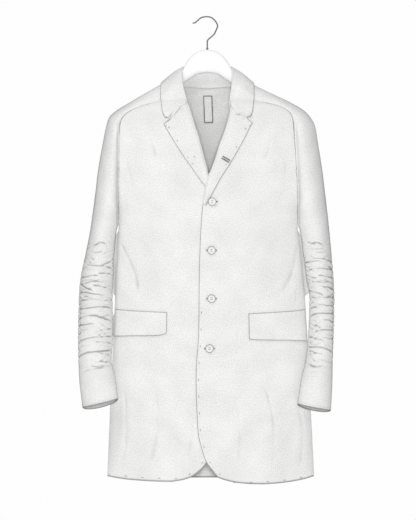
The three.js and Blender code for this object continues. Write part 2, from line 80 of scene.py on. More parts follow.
# A distance that puts no painted edge shade on the cloth
NO_LINE = 99.0
LABEL_TOP = -182.0
LABEL_FOOT = -244.5
LABEL_LIFT = 3.8
LABEL_THICKNESS = 0.9
LABEL_STITCH_PITCH = 2.6
BUTTON_RADIUS = 9.7
HOLE_OFFSET = 2.1
HOLE_RADIUS = 1.0
HOLE_STITCH_PITCH = 0.75
LAPEL_TACK_LIFT = 3.3
# Stage, in metres but for the floor: the photograph's height, its size per dot and the camera
PICTURE_DOTS = 520
DOT_SIZE = 0.00234
CAMERA_DISTANCE = 8.0
CAMERA_SIDE = 0.0016
CAMERA_HEIGHT = -0.5675
FLOOR_LEVEL = -1450
FLOOR_REACH = 2200


def table(names, rows):
    """Rows of numbers as a dict of named columns."""
    return dict(zip(names, np.array(rows, float).T))


BODY = table(("z", "left", "right", "seam", "front", "back"), [
    (-184, 79, 68, 22, 30, 30), (-196, 118, 106, 26, 35, 34), (-204, 145, 147, 27, 38, 36),
    (-213, 172, 172, 28, 41, 38), (-226, 195, 188, 30, 44, 40), (-240, 206, 193.5, 31, 47, 41),
    (-258, 210, 195.5, 32, 49, 43), (-323, 212, 200, 32, 53, 46), (-427, 213, 205, 24, 56, 48),
    (-486, 213.4, 205, 0.6, 57, 48), (-535, 215.5, 211, 0, 57, 48), (-605, 219.7, 217.6, 0, 54, 47),
    (-661, 222, 223, 0, 52, 46), (-918, 233.7, 236.5, 0, 49, 44), (-1095, 241, 245, 0, 47, 42)])
EDGE_LEFT = table(("z", "x"), [
    (-184, -60), (-200, -54), (-222, -45.4), (-242, -40.5), (-273, -30.2), (-305, -21.3),
    (-333, -13.8), (-355, -7.7), (-373, -2.8), (-400, 12), (-440, 27), (-778, 28), (-965, 11),
    (-1038, -8.2), (-1056, -20.8), (-1071, -39.5), (-1079, -60.6), (-1084, -88.7)])
EDGE_RIGHT = table(("z", "x"), [
    (-184, 53.4), (-200, 50.8), (-222, 48.7), (-242, 44.7), (-273, 34.4), (-305, 22.7),
    (-333, 14.3), (-355, 6), (-373, -2.3), (-404, -9.8), (-436, -16.1), (-465, -19.4),
    (-596, -25), (-731, -26.4), (-841, -32.5), (-963, -28.3), (-1021, -15), (-1038, -8.2),
    (-1056, 3.7), (-1072, 16.6), (-1079, 33), (-1087, 70), (-1091, 122)])
SLEEVE_NAMES = ("z", "outer", "outer_z", "inner", "bulge", "shift", "tube")
SLEEVE_LEFT = table(SLEEVE_NAMES, [
    (-184, 84, -141, 0, 6, 0, 0), (-196, 124, -162, 0, 7, 0, 0.05), (-213, 189, -200, 0, 8, 0, 0.15),
    (-226, 221, -220, 0, 14, 0, 0.35), (-240, 236, -235, 0, 20, 0, 0.5),
    (-258, 241.5, -252, 0, 25, 0, 0.7), (-300, 251.3, -298, 0, 30, 0, 0.8),
    (-350, 260.5, -350, 0, 36, 0, 0.9), (-427, 270.3, -427, 0, 42, 0, 1),
    (-486, 278, -486, 213.4, 47, 0, 1), (-500, 280.3, -502, 218.5, 48, 0, 1),
    (-560, 292, -562, 224, 48, -5, 1), (-605, 301, -607, 226, 47, -9, 1),
    (-661, 305.8, -662, 227.7, 44, -16, 1),
    (-750, 307, -752, 227, 41, -26, 1), (-800, 306, -803, 230, 39, -34, 1),
    (-841, 303.7, -847, 220, 37, -45, 1), (-902, 295.8, -910, 213, 34, -60, 1)])
SLEEVE_RIGHT = table(SLEEVE_NAMES, [
    (-184, 72, -141, 0, 6, 0, 0), (-196, 113, -163, 0, 7, 0, 0.05), (-213, 190, -200, 0, 8, 0, 0.15),
    (-226, 220, -218, 0, 14, 0, 0.35), (-240, 235, -234, 0, 20, 0, 0.5), (-258, 245, -252, 0, 25, 0, 0.7),
    (-300, 254, -300, 0, 30, 0, 0.8), (-350, 262, -350, 0, 36, 0, 0.9), (-427, 271.7, -427, 0, 42, 0, 1),
    (-486, 278, -486, 205, 47, 0, 1), (-500, 279.4, -502, 211, 48, 0, 1),
    (-560, 284.5, -562, 219, 48, -5, 1),
    (-605, 288, -607, 225, 47, -9, 1), (-661, 290.2, -662, 233, 42, -16, 1),
    (-750, 288, -752, 229.6, 40, -26, 1), (-800, 286, -803, 224, 39, -34, 1),
    (-841, 285, -847, 213, 37, -45, 1), (-902, 281, -910, 203, 34, -60, 1)])
LAPEL_LEFT = table(("s", "roll", "x", "z"), [
    (0, -203, -102, -251), (0.15, -224, -94, -265), (0.3, -250, -82.5, -284), (0.5, -285, -62, -317),
    (0.7, -318, -41, -347), (0.85, -345, -24, -371.5), (1, -370, -5, -397)])
LAPEL_RIGHT = table(("s", "roll", "x", "z"), [
    (0, -212, 105.5, -248.5), (0.12, -226, 96, -265), (0.25, -250, 85, -288), (0.42, -290, 68.5, -318),
    (0.6, -330, 50, -348.5), (0.75, -365, 32, -377), (0.88, -400, 14, -409.5), (1, -436, -2.5, -441)])
GORGE_LEFT = table(("t", "x", "z"), [
    (0, -47.5, -201.5), (0.3, -60.5, -211), (0.55, -74.4, -227), (0.72, -84.7, -237), (1, -102, -251)])
GORGE_RIGHT = table(("t", "x", "z"), [
    (0, 55.8, -211), (0.3, 68, -228), (0.55, 82, -231.5), (0.72, 90, -236), (1, 105.5, -248.5)])
NOTCH_START = 0.72
# Collar stations, gorge to the middle of the back: foot, roll, bulge and outer edge
COLLAR = [
    (46.3, -33.5, -199.5, 47.5, -38, -200, 70, -46, -212, 102, -33, -232),
    (55.5, -29, -182, 53.5, -36, -182, 76, -41, -190, 108, -32, -214),
    (71, -21, -172, 60.5, -30, -158, 82, -36, -163, 109.5, -29, -188),
    (72.5, -12.5, -147.5, 61.5, -15, -134, 86, -18, -141, 109.5, -16, -162),
    (73.5, 1, -140, 60.5, 2, -118, 84, 3, -129, 109, 3, -152.5),
    (71.5, 13, -146, 56, 18, -115.5, 80, 26, -126, 105, 24, -163),
    (66, 17, -160.3, 46, 29, -116, 62, 44, -124, 89, 37, -183),
    (42, 23.6, -162.2, 25, 36, -117, 32, 53, -134, 50, 43, -192),
    (0, 26.2, -165.4, 0, 38, -117.5, 0, 55, -136, 0, 44, -194)]
HANGER = table(("x", "top", "bottom", "thick"), [
    (0, -75.3, -129, 6.5), (20, -78.6, -131.5, 6.5), (34, -87.4, -139, 6.8), (45, -99.5, -146.5, 7),
    (53, -112, -152, 7.5), (62, -134, -160, 8), (80, -151, -174, 9), (120, -168, -193, 11),
    (160, -189, -218, 13), (200, -214.5, -242, 15), (217, -227, -248, 15), (224, -235, -246, 9)])
HOOK = [
    (-34.5, -13.2), (-28.5, -12), (-23, -7.6), (-17.5, -2.6), (-10.5, 0.8), (0, 1.7), (9, 0),
    (16.2, -5.6), (21.2, -12), (24, -19), (22.5, -25.5), (19.6, -32), (15.5, -39.5), (7.5, -46.8),
    (1.2, -52.8), (0, -58), (0, -68), (0, -75)]
# Buttons from the top: x, z, height over the front, and turn in degrees
BUTTONS = [(11.2, -432.2, 3.1, 4), (9.8, -545, 0.7, 0), (9.6, -657.3, 0.7, 0), (5.1, -773.4, 0.7, 0)]

# Sleeve creases: where they start and end across the sleeve (0 inner edge, 1 outer edge) and
# along it, with their width and depth; a negative depth is a ridge
CREASE_NAMES = ("a0", "z0", "a1", "z1", "width", "depth")
CREASES_LEFT = table(CREASE_NAMES, [
    (0.05, -545, 0.45, -556, 5, 0.9), (0.02, -566, 0.42, -581, 5, 1.6), (0.05, -592, 0.8, -577, 5, 1.9),
    (0.0, -606, 0.5, -598, 4.5, 1.7), (0.08, -616, 0.45, -606, 4, -1.2), (0.35, -604, 0.98, -609, 5, 1.8),
    (0.2, -619, 0.85, -622, 5, 1.2), (0.05, -641, 0.6, -625, 5, 1.5), (0.55, -640, 0.98, -621, 5.5, 2.3),
    (0.25, -652, 0.98, -643, 5, 2), (0.02, -664, 0.95, -663, 4.5, 1.5), (0.1, -672, 0.6, -670, 4, -1),
    (0.05, -680, 0.98, -683, 5.5, 1.9), (0.4, -694, 0.98, -707, 5, 1.5), (0.02, -716, 0.6, -696, 6, 1.8),
    (0.5, -716, 0.98, -722, 5, 2.2), (0.1, -728, 0.5, -735, 5, 1), (0.02, -745, 0.95, -757, 5, 1.7),
    (0.0, -766, 0.55, -757, 5, 1.2), (0.05, -777, 0.98, -792, 6, 1.9), (0.1, -793, 0.45, -781, 5, 1.4),
    (0.0, -812, 0.4, -801, 5, 1.3), (0.05, -816, 0.8, -824, 5, 1), (0.75, -735, 1.0, -742, 5, 1.4),
    (0.5, -530, 0.95, -540, 6, 0.8), (0.6, -566, 1.0, -560, 5, 1.1), (0.1, -556, 0.3, -562, 4, 1),
    (0.45, -571, 0.75, -575, 4, 1.1), (0.12, -586, 0.4, -589, 4, 1.2), (0.55, -588, 0.8, -592, 4, 1.1),
    (0.3, -613, 0.55, -616, 4, 1.2), (0.7, -612, 0.9, -617, 4, 1.3), (0.1, -627, 0.35, -634, 4, 1.2),
    (0.65, -633, 0.85, -637, 4, 1.4), (0.3, -635, 0.5, -641, 4, 1), (0.55, -656, 0.8, -653, 4, 1.2),
    (0.15, -657, 0.4, -655, 4, 1), (0.6, -673, 0.85, -676, 4, 1.3), (0.2, -690, 0.42, -687, 4, 1.1),
    (0.65, -690, 0.9, -694, 4, 1.2), (0.2, -706, 0.4, -709, 4, 1), (0.62, -729, 0.85, -731, 4, 1.3),
    (0.2, -738, 0.45, -741, 4, 1), (0.6, -765, 0.85, -768, 4, 1.1), (0.35, -773, 0.6, -776, 4, 0.9)])
CREASES_RIGHT = table(CREASE_NAMES, [
    (0.1, -522, 0.5, -533, 6, 0.8), (0.05, -548, 0.7, -540, 5, 1.1), (0.3, -562, 0.98, -573, 5, 1.5),
    (0.02, -578, 0.6, -569, 5, 1.6), (0.1, -593, 0.95, -588, 5, 1.9), (0.0, -604, 0.4, -612, 5, 1.5),
    (0.4, -603, 0.98, -611, 5, 1.8), (0.05, -624, 0.7, -619, 4.5, 1.3), (0.55, -629, 1.0, -640, 5.5, 2.1),
    (0.02, -640, 0.55, -650, 5, 1.9), (0.15, -660, 0.98, -655, 5, 1.6), (0.3, -672, 0.95, -678, 5, 1.8),
    (0.0, -684, 0.5, -676, 5, 1.4), (0.05, -699, 0.98, -692, 5.5, 2), (0.5, -705, 1.0, -716, 5, 1.9),
    (0.02, -716, 0.45, -724, 5, 1.5), (0.2, -737, 0.98, -729, 5, 1.8), (0.0, -748, 0.6, -755, 5.5, 1.6),
    (0.5, -748, 0.98, -752, 5, 1.3), (0.05, -770, 0.9, -778, 6, 1.8), (0.1, -789, 0.6, -783, 5, 1.2),
    (0.3, -799, 0.98, -806, 5, 1.1), (0.0, -806, 0.4, -815, 5, 1.2), (0.15, -556, 0.4, -560, 4, 1),
    (0.7, -558, 0.9, -563, 4, 1), (0.2, -585, 0.45, -583, 4, 1.1), (0.6, -580, 0.85, -584, 4, 1.2),
    (0.5, -598, 0.75, -601, 4, 1.1), (0.1, -613, 0.3, -618, 4, 1.2), (0.6, -617, 0.9, -621, 4, 1.2),
    (0.15, -632, 0.35, -635, 4, 1.3), (0.75, -648, 0.95, -650, 4, 1.3), (0.1, -653, 0.3, -657, 4, 1.2),
    (0.12, -668, 0.32, -670, 4, 1.3), (0.7, -668, 0.9, -664, 4, 1.1), (0.6, -686, 0.85, -684, 4, 1.2),
    (0.15, -707, 0.35, -710, 4, 1.2), (0.6, -723, 0.85, -722, 4, 1.1), (0.2, -728, 0.35, -731, 4, 1),
    (0.65, -741, 0.9, -743, 4, 1.1), (0.1, -761, 0.3, -764, 4, 1.2), (0.55, -764, 0.8, -767, 4, 1),
    (0.1, -783, 0.25, -786, 4, 0.9)])
CREASES_HIDDEN = table(CREASE_NAMES, [
    (0.1, -530, 0.7, -541, 6, 0.8), (0.3, -560, 0.98, -552, 5, 1.3), (0.02, -577, 0.6, -586, 5, 1.6),
    (0.2, -600, 0.95, -594, 5.5, 1.9), (0.05, -618, 0.5, -610, 5, 1.4), (0.4, -625, 0.98, -636, 5, 1.9),
    (0.0, -645, 0.7, -651, 5, 1.6), (0.15, -668, 0.98, -661, 5.5, 1.8), (0.05, -684, 0.6, -692, 5, 1.7),
    (0.45, -702, 0.98, -697, 5, 1.8), (0.02, -713, 0.8, -722, 5.5, 1.9), (0.2, -742, 0.95, -735, 5, 1.5),
    (0.0, -760, 0.6, -768, 6, 1.6), (0.3, -782, 0.9, -776, 5, 1.2), (0.1, -803, 0.7, -811, 5, 1)])
# Soft drags on the fronts, in x and z
DRAGS = table(("x0", "z0", "x1", "z1", "width", "depth"), [
    (68.8, -726, 59.4, -815, 7, 1.5), (-208, -520, -160, -640, 14, 2), (212, -525, 168, -650, 14, 2),
    (-60, -560, -14, -546, 9, 0.9), (30, -547, 84, -568, 9, 0.9), (-70, -668, -14, -659, 9, 0.8),
    (28, -660, 90, -676, 9, 0.8), (-60, -790, -10, -776, 10, 0.8), (26, -775, 90, -792, 10, 0.8),
    (-150, -260, -120, -330, 13, 1.4), (150, -262, 128, -340, 13, 1.4), (-190, -330, -176, -440, 12, 1.2),
    (178, -320, 170, -430, 12, 1.2), (-120, -860, -135, -1040, 18, 1.8), (130, -850, 150, -1050, 18, 1.8),
    (204.5, -592, 203.5, -672, 3.2, 1.5), (91, -648, 91, -694, 3.2, 1.3),
    (-40, -880, -46, -1030, 15, 1.2), (60, -870, 66, -1060, 16, 1.3), (-196, -860, -204, -1060, 14, 1.6),
    (206, -870, 214, -1060, 14, 1.6)])


def curve(rows, key, value):
    """A smooth curve through two columns, with no overshoot between the rows."""
    xs, ys = rows[key], rows[value]
    if xs[1] < xs[0]:
        xs, ys = xs[::-1], ys[::-1]
    gaps = np.diff(xs)
    rises = np.diff(ys) / gaps
    before = np.concatenate([rises[:1], rises])
    after = np.concatenate([rises, rises[-1:]])
    total = before + after
    same = before * after > 0
    slopes = np.where(same, 2 * before * after / np.where(same, total, 1), 0)

    def at(x):
        x = np.clip(np.asarray(x, float), xs[0], xs[-1])
        i = np.clip(np.searchsorted(xs, x) - 1, 0, len(xs) - 2)
        h = gaps[i]
        t = (x - xs[i]) / h
        t2, t3 = t * t, t * t * t
        return ((2 * t3 - 3 * t2 + 1) * ys[i] + (t3 - 2 * t2 + t) * h * slopes[i]
                + (3 * t2 - 2 * t3) * ys[i + 1] + (t3 - t2) * h * slopes[i + 1])
    return at


def columns(rows, key):
    return {name: curve(rows, key, name) for name in rows if name != key}


BODY_AT = columns(BODY, "z")
SLEEVE_AT = {"left": columns(SLEEVE_LEFT, "z"), "right": columns(SLEEVE_RIGHT, "z")}
EDGE_AT = {"left": curve(EDGE_LEFT, "z", "x"), "right": curve(EDGE_RIGHT, "z", "x")}
LAPEL_AT = {"left": columns(LAPEL_LEFT, "s"), "right": columns(LAPEL_RIGHT, "s")}
GORGE_AT = {"left": columns(GORGE_LEFT, "t"), "right": columns(GORGE_RIGHT, "t")}


def mix(a, b, t):
    return a + (b - a) * t


def smooth(t):
    t = np.clip(t, 0, 1)
    return t * t * (3 - 2 * t)


def creased(x, z, rows, names=("x0", "z0", "x1", "z1")):
    """Troughs along short lines, each with a low ridge on one side."""
    total = np.zeros(np.broadcast(x, z).shape)
    x0s, z0s, x1s, z1s = (rows[n] for n in names)
    for x0, z0, x1, z1, width, depth in zip(x0s, z0s, x1s, z1s, rows["width"], rows["depth"]):
        dx, dz = x1 - x0, z1 - z0
        length = math.hypot(dx, dz)
        along = ((x - x0) * dx + (z - z0) * dz) / length ** 2
        bow = 0.06 * length * np.sin(np.pi * np.clip(along, 0, 1)) + 0.8 * np.sin(along * 9 + z0)
        off = ((x - x0) * dz - (z - z0) * dx) / length + bow
        ends = smooth((along + 0.12) / 0.3) * smooth((1.12 - along) / 0.3)
        narrow = width * (0.27 + 0.2 * smooth(along))
        trough = np.exp(-(off / narrow) ** 2)
        ridge = np.exp(-((off - 1.9 * narrow) / (1.3 * narrow)) ** 2)
        total += ends * depth * (0.5 * ridge - trough)
    return total


def body_depth(x, z, face):
    half = np.where(x < CENTRE, BODY_AT["left"](z), BODY_AT["right"](z))
    u = np.clip(np.abs(x - CENTRE) / half, 0, 1)
    seam = BODY_AT["seam"](z)
    return seam + (BODY_AT[face](z) - seam) * (1 - u ** 2.6) ** 0.62


def big_fold(x, z):
    cord = np.sin(z / 61 + x / 70) * np.sin(x / 37 + z / 400)
    return FOLD_DEPTH * cord * smooth((-z - 500) / 300) * smooth((205 - np.abs(x - CENTRE)) / 60)


def rumple(x, z):
    """Low, uneven waves that washed cloth keeps."""
    return (0.34 * np.sin(x / 13 + 2.1 * np.sin(z / 57)) * np.sin(z / 29 + 1.7 * np.sin(x / 41))
            + 0.2 * np.sin(x / 7.3 + z / 19) * np.sin(z / 11 - x / 23 + 2 * np.sin(z / 90)))


def front_y(x, z):
    return -body_depth(x, z, "front") + big_fold(x, z)


def over_y(x, z):
    lap = smooth((CENTRE + 115 - x) / 60) * smooth((-z - 295) / 50)
    return front_y(x, z) - LAP_LIFT * lap


def back_y(x, z):
    return body_depth(x, z, "back") + big_fold(x + 90, z)


FACE_Y = {"left": front_y, "right": over_y}


def back_rise(z):
    return NECK_RISE * np.clip((z - RISE_START) / (TOP_LEVEL - RISE_START), 0, 1) ** 1.6


def even(count, fine):
    """Even steps from 0 to 1, with closer ones at both ends."""
    near = np.array([0, 0.13, 0.3, 0.55]) * fine
    return np.concatenate([near, np.linspace(fine, 1 - fine, count), 1 - near[::-1]])


def grid_normals(points, flip):
    down = np.gradient(points, axis=0)
    across = np.gradient(points, axis=1)
    n = np.cross(down, across) * flip
    return n / np.maximum(np.linalg.norm(n, axis=2, keepdims=True), 1e-9)


def lengths(points, axis):
    """Distance along one direction of a grid, from its start and to its end."""
    steps = np.linalg.norm(np.diff(points, axis=axis), axis=2)
    pad = [(0, 0), (0, 0)]
    pad[axis] = (1, 0)
    run = np.pad(np.cumsum(steps, axis=axis), pad)
    last = np.take(run, [-1], axis=axis)
    return run, last - run


def catmull(points, steps):
    """A smooth curve through points, sampled evenly in its own measure."""
    p = np.array(points, float)
    p = np.vstack([2 * p[0] - p[1], p, 2 * p[-1] - p[-2]])
    s = np.linspace(0, len(p) - 3, steps)
    i = np.clip(s.astype(int), 0, len(p) - 4)
    t = (s - i)[:, None]
    a, b, c, d = p[i], p[i + 1], p[i + 2], p[i + 3]
    return 0.5 * (2 * b + (c - a) * t + (2 * a - 5 * b + 4 * c - d) * t ** 2
                  + (3 * b - a - 3 * c + d) * t ** 3)


def mesh_object(name, points, faces, material, uv=None, fields=None, smooth_shading=True):
    mesh = bpy.data.meshes.new(name)
    mesh.from_pydata((np.asarray(points) / 1000).tolist(), [], faces)
    mesh.validate()
    if uv is not None:
        layer = mesh.uv_layers.new(name="cloth")
        index = np.zeros(len(mesh.loops), np.int32)
        mesh.loops.foreach_get("vertex_index", index)
        layer.data.foreach_set("uv", (np.asarray(uv)[index] / 1000).astype(np.float32).ravel())
    for key, values in (fields or {}).items():
        layer = mesh.attributes.new(key, "FLOAT", "POINT")
        layer.data.foreach_set("value", np.asarray(values, np.float32).ravel())
    if smooth_shading:
        mesh.shade_smooth()
    obj = bpy.data.objects.new(name, mesh)
    bpy.context.scene.collection.objects.link(obj)
    obj.data.materials.append(material)
    return obj


def line_distance(points, line):
    """How far each point of a grid lies from a line of points."""
    nearest = np.full(points.shape[:2], NO_LINE)
    for start, end in zip(line[:-1], line[1:]):
        reach = end - start
        along = np.clip((points - start) @ reach / max(reach @ reach, 1e-9), 0, 1)
        nearest = np.minimum(nearest, np.linalg.norm(points - start - along[..., None] * reach, axis=2))
    return nearest


def cloth_piece(name, points, flip, relief, finish="cloth", thickness=None, pucker=0.3, lines=(),
                near=NO_LINE):
    """A thin shell of cloth on a grid: its edges are rounded, its seams pucker, and its free edges,
    given as sides with a scale or as a distance from every point, carry a line of painted shade."""
    m, n = points.shape[:2]
    count = m * n
    if thickness is None:
        thickness = bpy.context.scene.blazer_look.cloth_thickness * 1000
    normals = grid_normals(points, flip)
    start_u, end_u = lengths(points, 1)
    start_v, end_v = lengths(points, 0)
    sides = {"first": start_u, "last": end_u, "top": start_v, "foot": end_v}
    edge = np.minimum.reduce(list(sides.values()))
    free = np.minimum(np.full((m, n), NO_LINE), near)
    for side, scale, share in lines:
        free = np.minimum(free, sides[side] * scale + NO_LINE * (1 - share))
    lift = -0.35 * np.exp(-(edge / 1.3) ** 2)
    for run, off in ((start_v, np.minimum(start_u, end_u)), (start_u, np.minimum(start_v, end_v))):
        ripple = np.sin(run / SEAM_PITCH + 1.6 * np.sin(run / 17)) * np.exp(-(off / SEAM_REACH) ** 2)
        lift = lift + pucker * ripple * smooth(edge / 1.5)
    shaped = points + normals * (lift + relief)[..., None]
    inner = shaped - normals * thickness
    a = (np.arange(m - 1)[:, None] * n + np.arange(n - 1)[None, :]).ravel()
    rows = np.arange(n - 1)
    cols = np.arange(m - 1) * n
    last = (m - 1) * n
    corners = [
        (a, a + n, a + n + 1, a + 1),
        (a + count, a + 1 + count, a + n + 1 + count, a + n + count),
        (rows, rows + 1, rows + 1 + count, rows + count),
        (rows + last, rows + last + count, rows + last + 1 + count, rows + last + 1),
        (cols, cols + count, cols + n + count, cols + n),
        (cols + n - 1, cols + 2 * n - 1, cols + 2 * n - 1 + count, cols + n - 1 + count)]
    faces = np.concatenate([np.stack(four, 1) for four in corners])
    if flip < 0:
        faces = faces[:, ::-1]
    uv = np.stack([start_u, start_v], 2).reshape(-1, 2)
    # edge_mm sets the painted edge shade, hollow the painted shade in creases
    fields = {"edge_mm": np.concatenate([free.ravel(), free.ravel()]),
              "hollow": np.concatenate([(relief + lift).ravel(), np.zeros(count)])}
    both = np.concatenate([shaped.reshape(-1, 3), inner.reshape(-1, 3)])
    return mesh_object(name, both, faces.tolist(), finish_of(finish), np.concatenate([uv, uv]), fields)


def tube(path, radius, sides):
    """Points and faces of a round rod along a path; radius may change along it."""
    path = np.asarray(path, float)
    count = len(path)
    ahead = np.roll(path, -1, 0) - np.roll(path, 1, 0)
    ahead[0], ahead[-1] = path[1] - path[0], path[-1] - path[-2]
    ahead /= np.maximum(np.linalg.norm(ahead, axis=1, keepdims=True), 1e-9)
    side = np.cross(ahead, [0.03, -1.0, 0.02])
    side /= np.maximum(np.linalg.norm(side, axis=1, keepdims=True), 1e-9)
    up = np.cross(side, ahead)
    turn = np.arange(sides)[None, :, None] * 2 * np.pi / sides
    radius = np.broadcast_to(radius, (count,))[:, None, None]
    points = path[:, None] + radius * (np.cos(turn) * side[:, None] + np.sin(turn) * up[:, None])
    return points.reshape(-1, 3), ring_faces(count, sides)


def ring_faces(count, sides):
    """Faces over a run of rings with the same number of sides, closed at both ends."""
    faces = [[i * sides + k, i * sides + (k + 1) % sides, (i + 1) * sides + (k + 1) % sides,
              (i + 1) * sides + k] for i in range(count - 1) for k in range(sides)]
    return faces + [list(range(sides))[::-1], [(count - 1) * sides + k for k in range(sides)]]


def join_parts(parts):
    """Several lists of points and faces as one."""
    points, faces, start = [], [], 0
    for p, f in parts:
        points.append(p)
        faces += [[v + start for v in face] for face in f]
        start += len(p)
    return np.concatenate(points), faces


# Materials
def fill(tree, made, inputs):
    """Give a node's inputs their values, or link them from the outputs given."""
    for key, value in inputs.items():
        if isinstance(value, bpy.types.NodeSocket):
            tree.links.new(value, made.inputs[key])
        else:
            made.inputs[key].default_value = value


def node(tree, kind, place, inputs=None, **settings):
    made = tree.nodes.new(kind)
    made.location = place
    for key, value in settings.items():
        setattr(made, key, value)
    fill(tree, made, inputs or {})
    return made


def maths(tree, place, operation, *values):
    return node(tree, "ShaderNodeMath", place, dict(enumerate(values)), operation=operation).outputs[0]


def noise(tree, place, vector, scale, detail):
    inputs = {"Vector": vector, "Scale": scale, "Detail": detail}
    return node(tree, "ShaderNodeTexNoise", place, inputs).outputs["Fac"]


def ranged(tree, place, value, source, target, **settings):
    """The value taken from one range to another."""
    inputs = {"Value": value, "From Min": source[0], "From Max": source[1],
              "To Min": target[0], "To Max": target[1]}
    return node(tree, "ShaderNodeMapRange", place, inputs, **settings).outputs[0]


def blended(tree, place, factor, first, second, **settings):
    """Two colours mixed or, with blend_type MULTIPLY, multiplied."""
    inputs = {0: factor, 6: first, 7: second}
    return node(tree, "ShaderNodeMix", place, inputs, data_type="RGBA", **settings).outputs[2]


def number_group(name, inputs, outputs):
    """A shader group with number sockets: its tree and what comes in."""
    tree = bpy.data.node_groups.new(name, "ShaderNodeTree")
    for key, value in inputs.items():
        socket = tree.interface.new_socket(name=key, in_out="INPUT", socket_type="NodeSocketFloat")
        socket.default_value = value
    for key in outputs:
        tree.interface.new_socket(name=key, in_out="OUTPUT", socket_type="NodeSocketFloat")
    return tree, node(tree, "NodeGroupInput", (-1400, 0)).outputs


def weave_group():
    """Woven threads from the cloth's own lengths, with slubs: a height and a tone."""
    tree, given = number_group(
        "Woven threads", {"Thread mm": 0.62, "Slub": 0.5, "Grain": 0.75}, ("Height", "Tone"))
    uv = node(tree, "ShaderNodeUVMap", (-1200, 300), uv_map="cloth").outputs["UV"]
    split = node(tree, "ShaderNodeSeparateXYZ", (-1000, 300), {0: uv}).outputs
    per = maths(tree, (-1000, 100), "DIVIDE", 1000 * 2 * math.pi, given["Thread mm"])
    slub = noise(tree, (-1000, -200), uv, 420, 3)
    waves = []
    for axis, y in (("X", 300), ("Y", 100)):
        turns = maths(tree, (-800, y), "MULTIPLY", split[axis], per)
        bent = maths(tree, (-600, y), "MULTIPLY_ADD", slub, 2.4, turns)
        waves.append(maths(tree, (-400, y), "SINE", bent))
    cross = maths(tree, (-200, 200), "MULTIPLY", *waves)
    lumps = maths(tree, (-200, 0), "MULTIPLY", slub, given["Slub"])
    height = maths(tree, (0, 200), "MULTIPLY_ADD", cross, 0.35, lumps)
    grain, blotch = (
        ranged(tree, (-200, y), noise(tree, (-400, y), uv, scale, detail), (0.3, 0.7), (0, 1))
        for y, scale, detail in ((-300, 420, 2), (-500, 16, 4)))
    tone = node(tree, "ShaderNodeMix", (0, -300), {0: given["Grain"], 2: blotch, 3: grain},
                data_type="FLOAT").outputs[0]
    node(tree, "NodeGroupOutput", (250, 0), {"Height": height, "Tone": tone})
    return tree


def edge_and_crease_shade_group():
    """A tone from 1 down: painted shade near a free edge and in the hollows of creases."""
    tree, given = number_group(
        "Edge and crease painted shade", {"Edge shade depth": 0.5, "Edge mm": 2.2, "Crease shade depth": 0.2}, ("Tone",))
    edge, hollow = (node(tree, "ShaderNodeAttribute", (-900, y), attribute_name=name).outputs["Fac"]
                    for y, name in ((300, "edge_mm"), (-300, "hollow")))
    # Painted shade along the free edges
    near = ranged(tree, (-650, 300), edge, (0.3, given["Edge mm"]), (1, 0),
                  interpolation_type="SMOOTHSTEP")
    # Painted shade in the hollows of creases and puckers
    deep = ranged(tree, (-650, -300), hollow, (-1.8, -0.3), (1, 0), interpolation_type="SMOOTHSTEP")
    dark = maths(tree, (-400, 200), "MULTIPLY", near, given["Edge shade depth"])
    low = maths(tree, (-400, -200), "MULTIPLY", deep, given["Crease shade depth"])
    keep = maths(tree, (-200, 100), "SUBTRACT", 1, dark)
    tone = maths(tree, (0, 0), "SUBTRACT", keep, low)
    node(tree, "NodeGroupOutput", (200, 0), {"Tone": tone})
    return tree


GROUPS = {}


def shared(maker):
    """The one group that a maker makes, for every material that asks for it."""
    if maker not in GROUPS:
        GROUPS[maker] = maker()
    return GROUPS[maker]


def new_material(name):
    material = bpy.data.materials.new(name)
    material.use_nodes = True
    return material, material.node_tree, material.node_tree.nodes["Principled BSDF"]


def shaded(tree, colour, spread, tone):
    """The colour, from a little darker to a little lighter with the tone."""
    ends = ((*(min(1, c * scale) for c in colour[:3]), 1) for scale in (1 - spread, 1 + spread))
    return blended(tree, (-600, 100), tone, *ends)


def cloth_material(name, colour, thread=0.62, edge_shade_depth=0.62):
    """Woven cloth: threads and slubs, painted shade near free edges and in creases, and painted shade where
    it turns away.
    """
    material, tree, shader = new_material(name)
    weave = node(tree, "ShaderNodeGroup", (-900, 0), {"Thread mm": thread},
                 node_tree=shared(weave_group))
    # Painted shade near free edges and in the hollows of creases
    seam = node(tree, "ShaderNodeGroup", (-900, 300), {"Edge shade depth": edge_shade_depth, "Crease shade depth": 0.42},
                node_tree=shared(edge_and_crease_shade_group))
    shade = shaded(tree, colour, 0.2, weave.outputs["Tone"])
    edge_and_crease_shaded = blended(tree, (-400, 200), 1, shade, seam.outputs["Tone"], blend_type="MULTIPLY")
    # Painted shade where the cloth turns away from the view
    rim = node(tree, "ShaderNodeLayerWeight", (-650, 550), {"Blend": 0.5})
    turned = ranged(tree, (-400, 550), rim.outputs["Facing"], (0.66, 1), (1, 0.3))
    away = blended(tree, (-200, 300), 1, edge_and_crease_shaded, turned, blend_type="MULTIPLY")
    bump = node(tree, "ShaderNodeBump", (-400, -200),
                {"Strength": 0.5, "Distance": 0.00025, "Height": weave.outputs["Height"]})
    fill(tree, shader, {"Base Color": away, "Normal": bump.outputs[0], "Roughness": 0.92,
                        "Specular IOR Level": 0.2, "Sheen Weight": 0.05, "Sheen Roughness": 0.6})
    return material


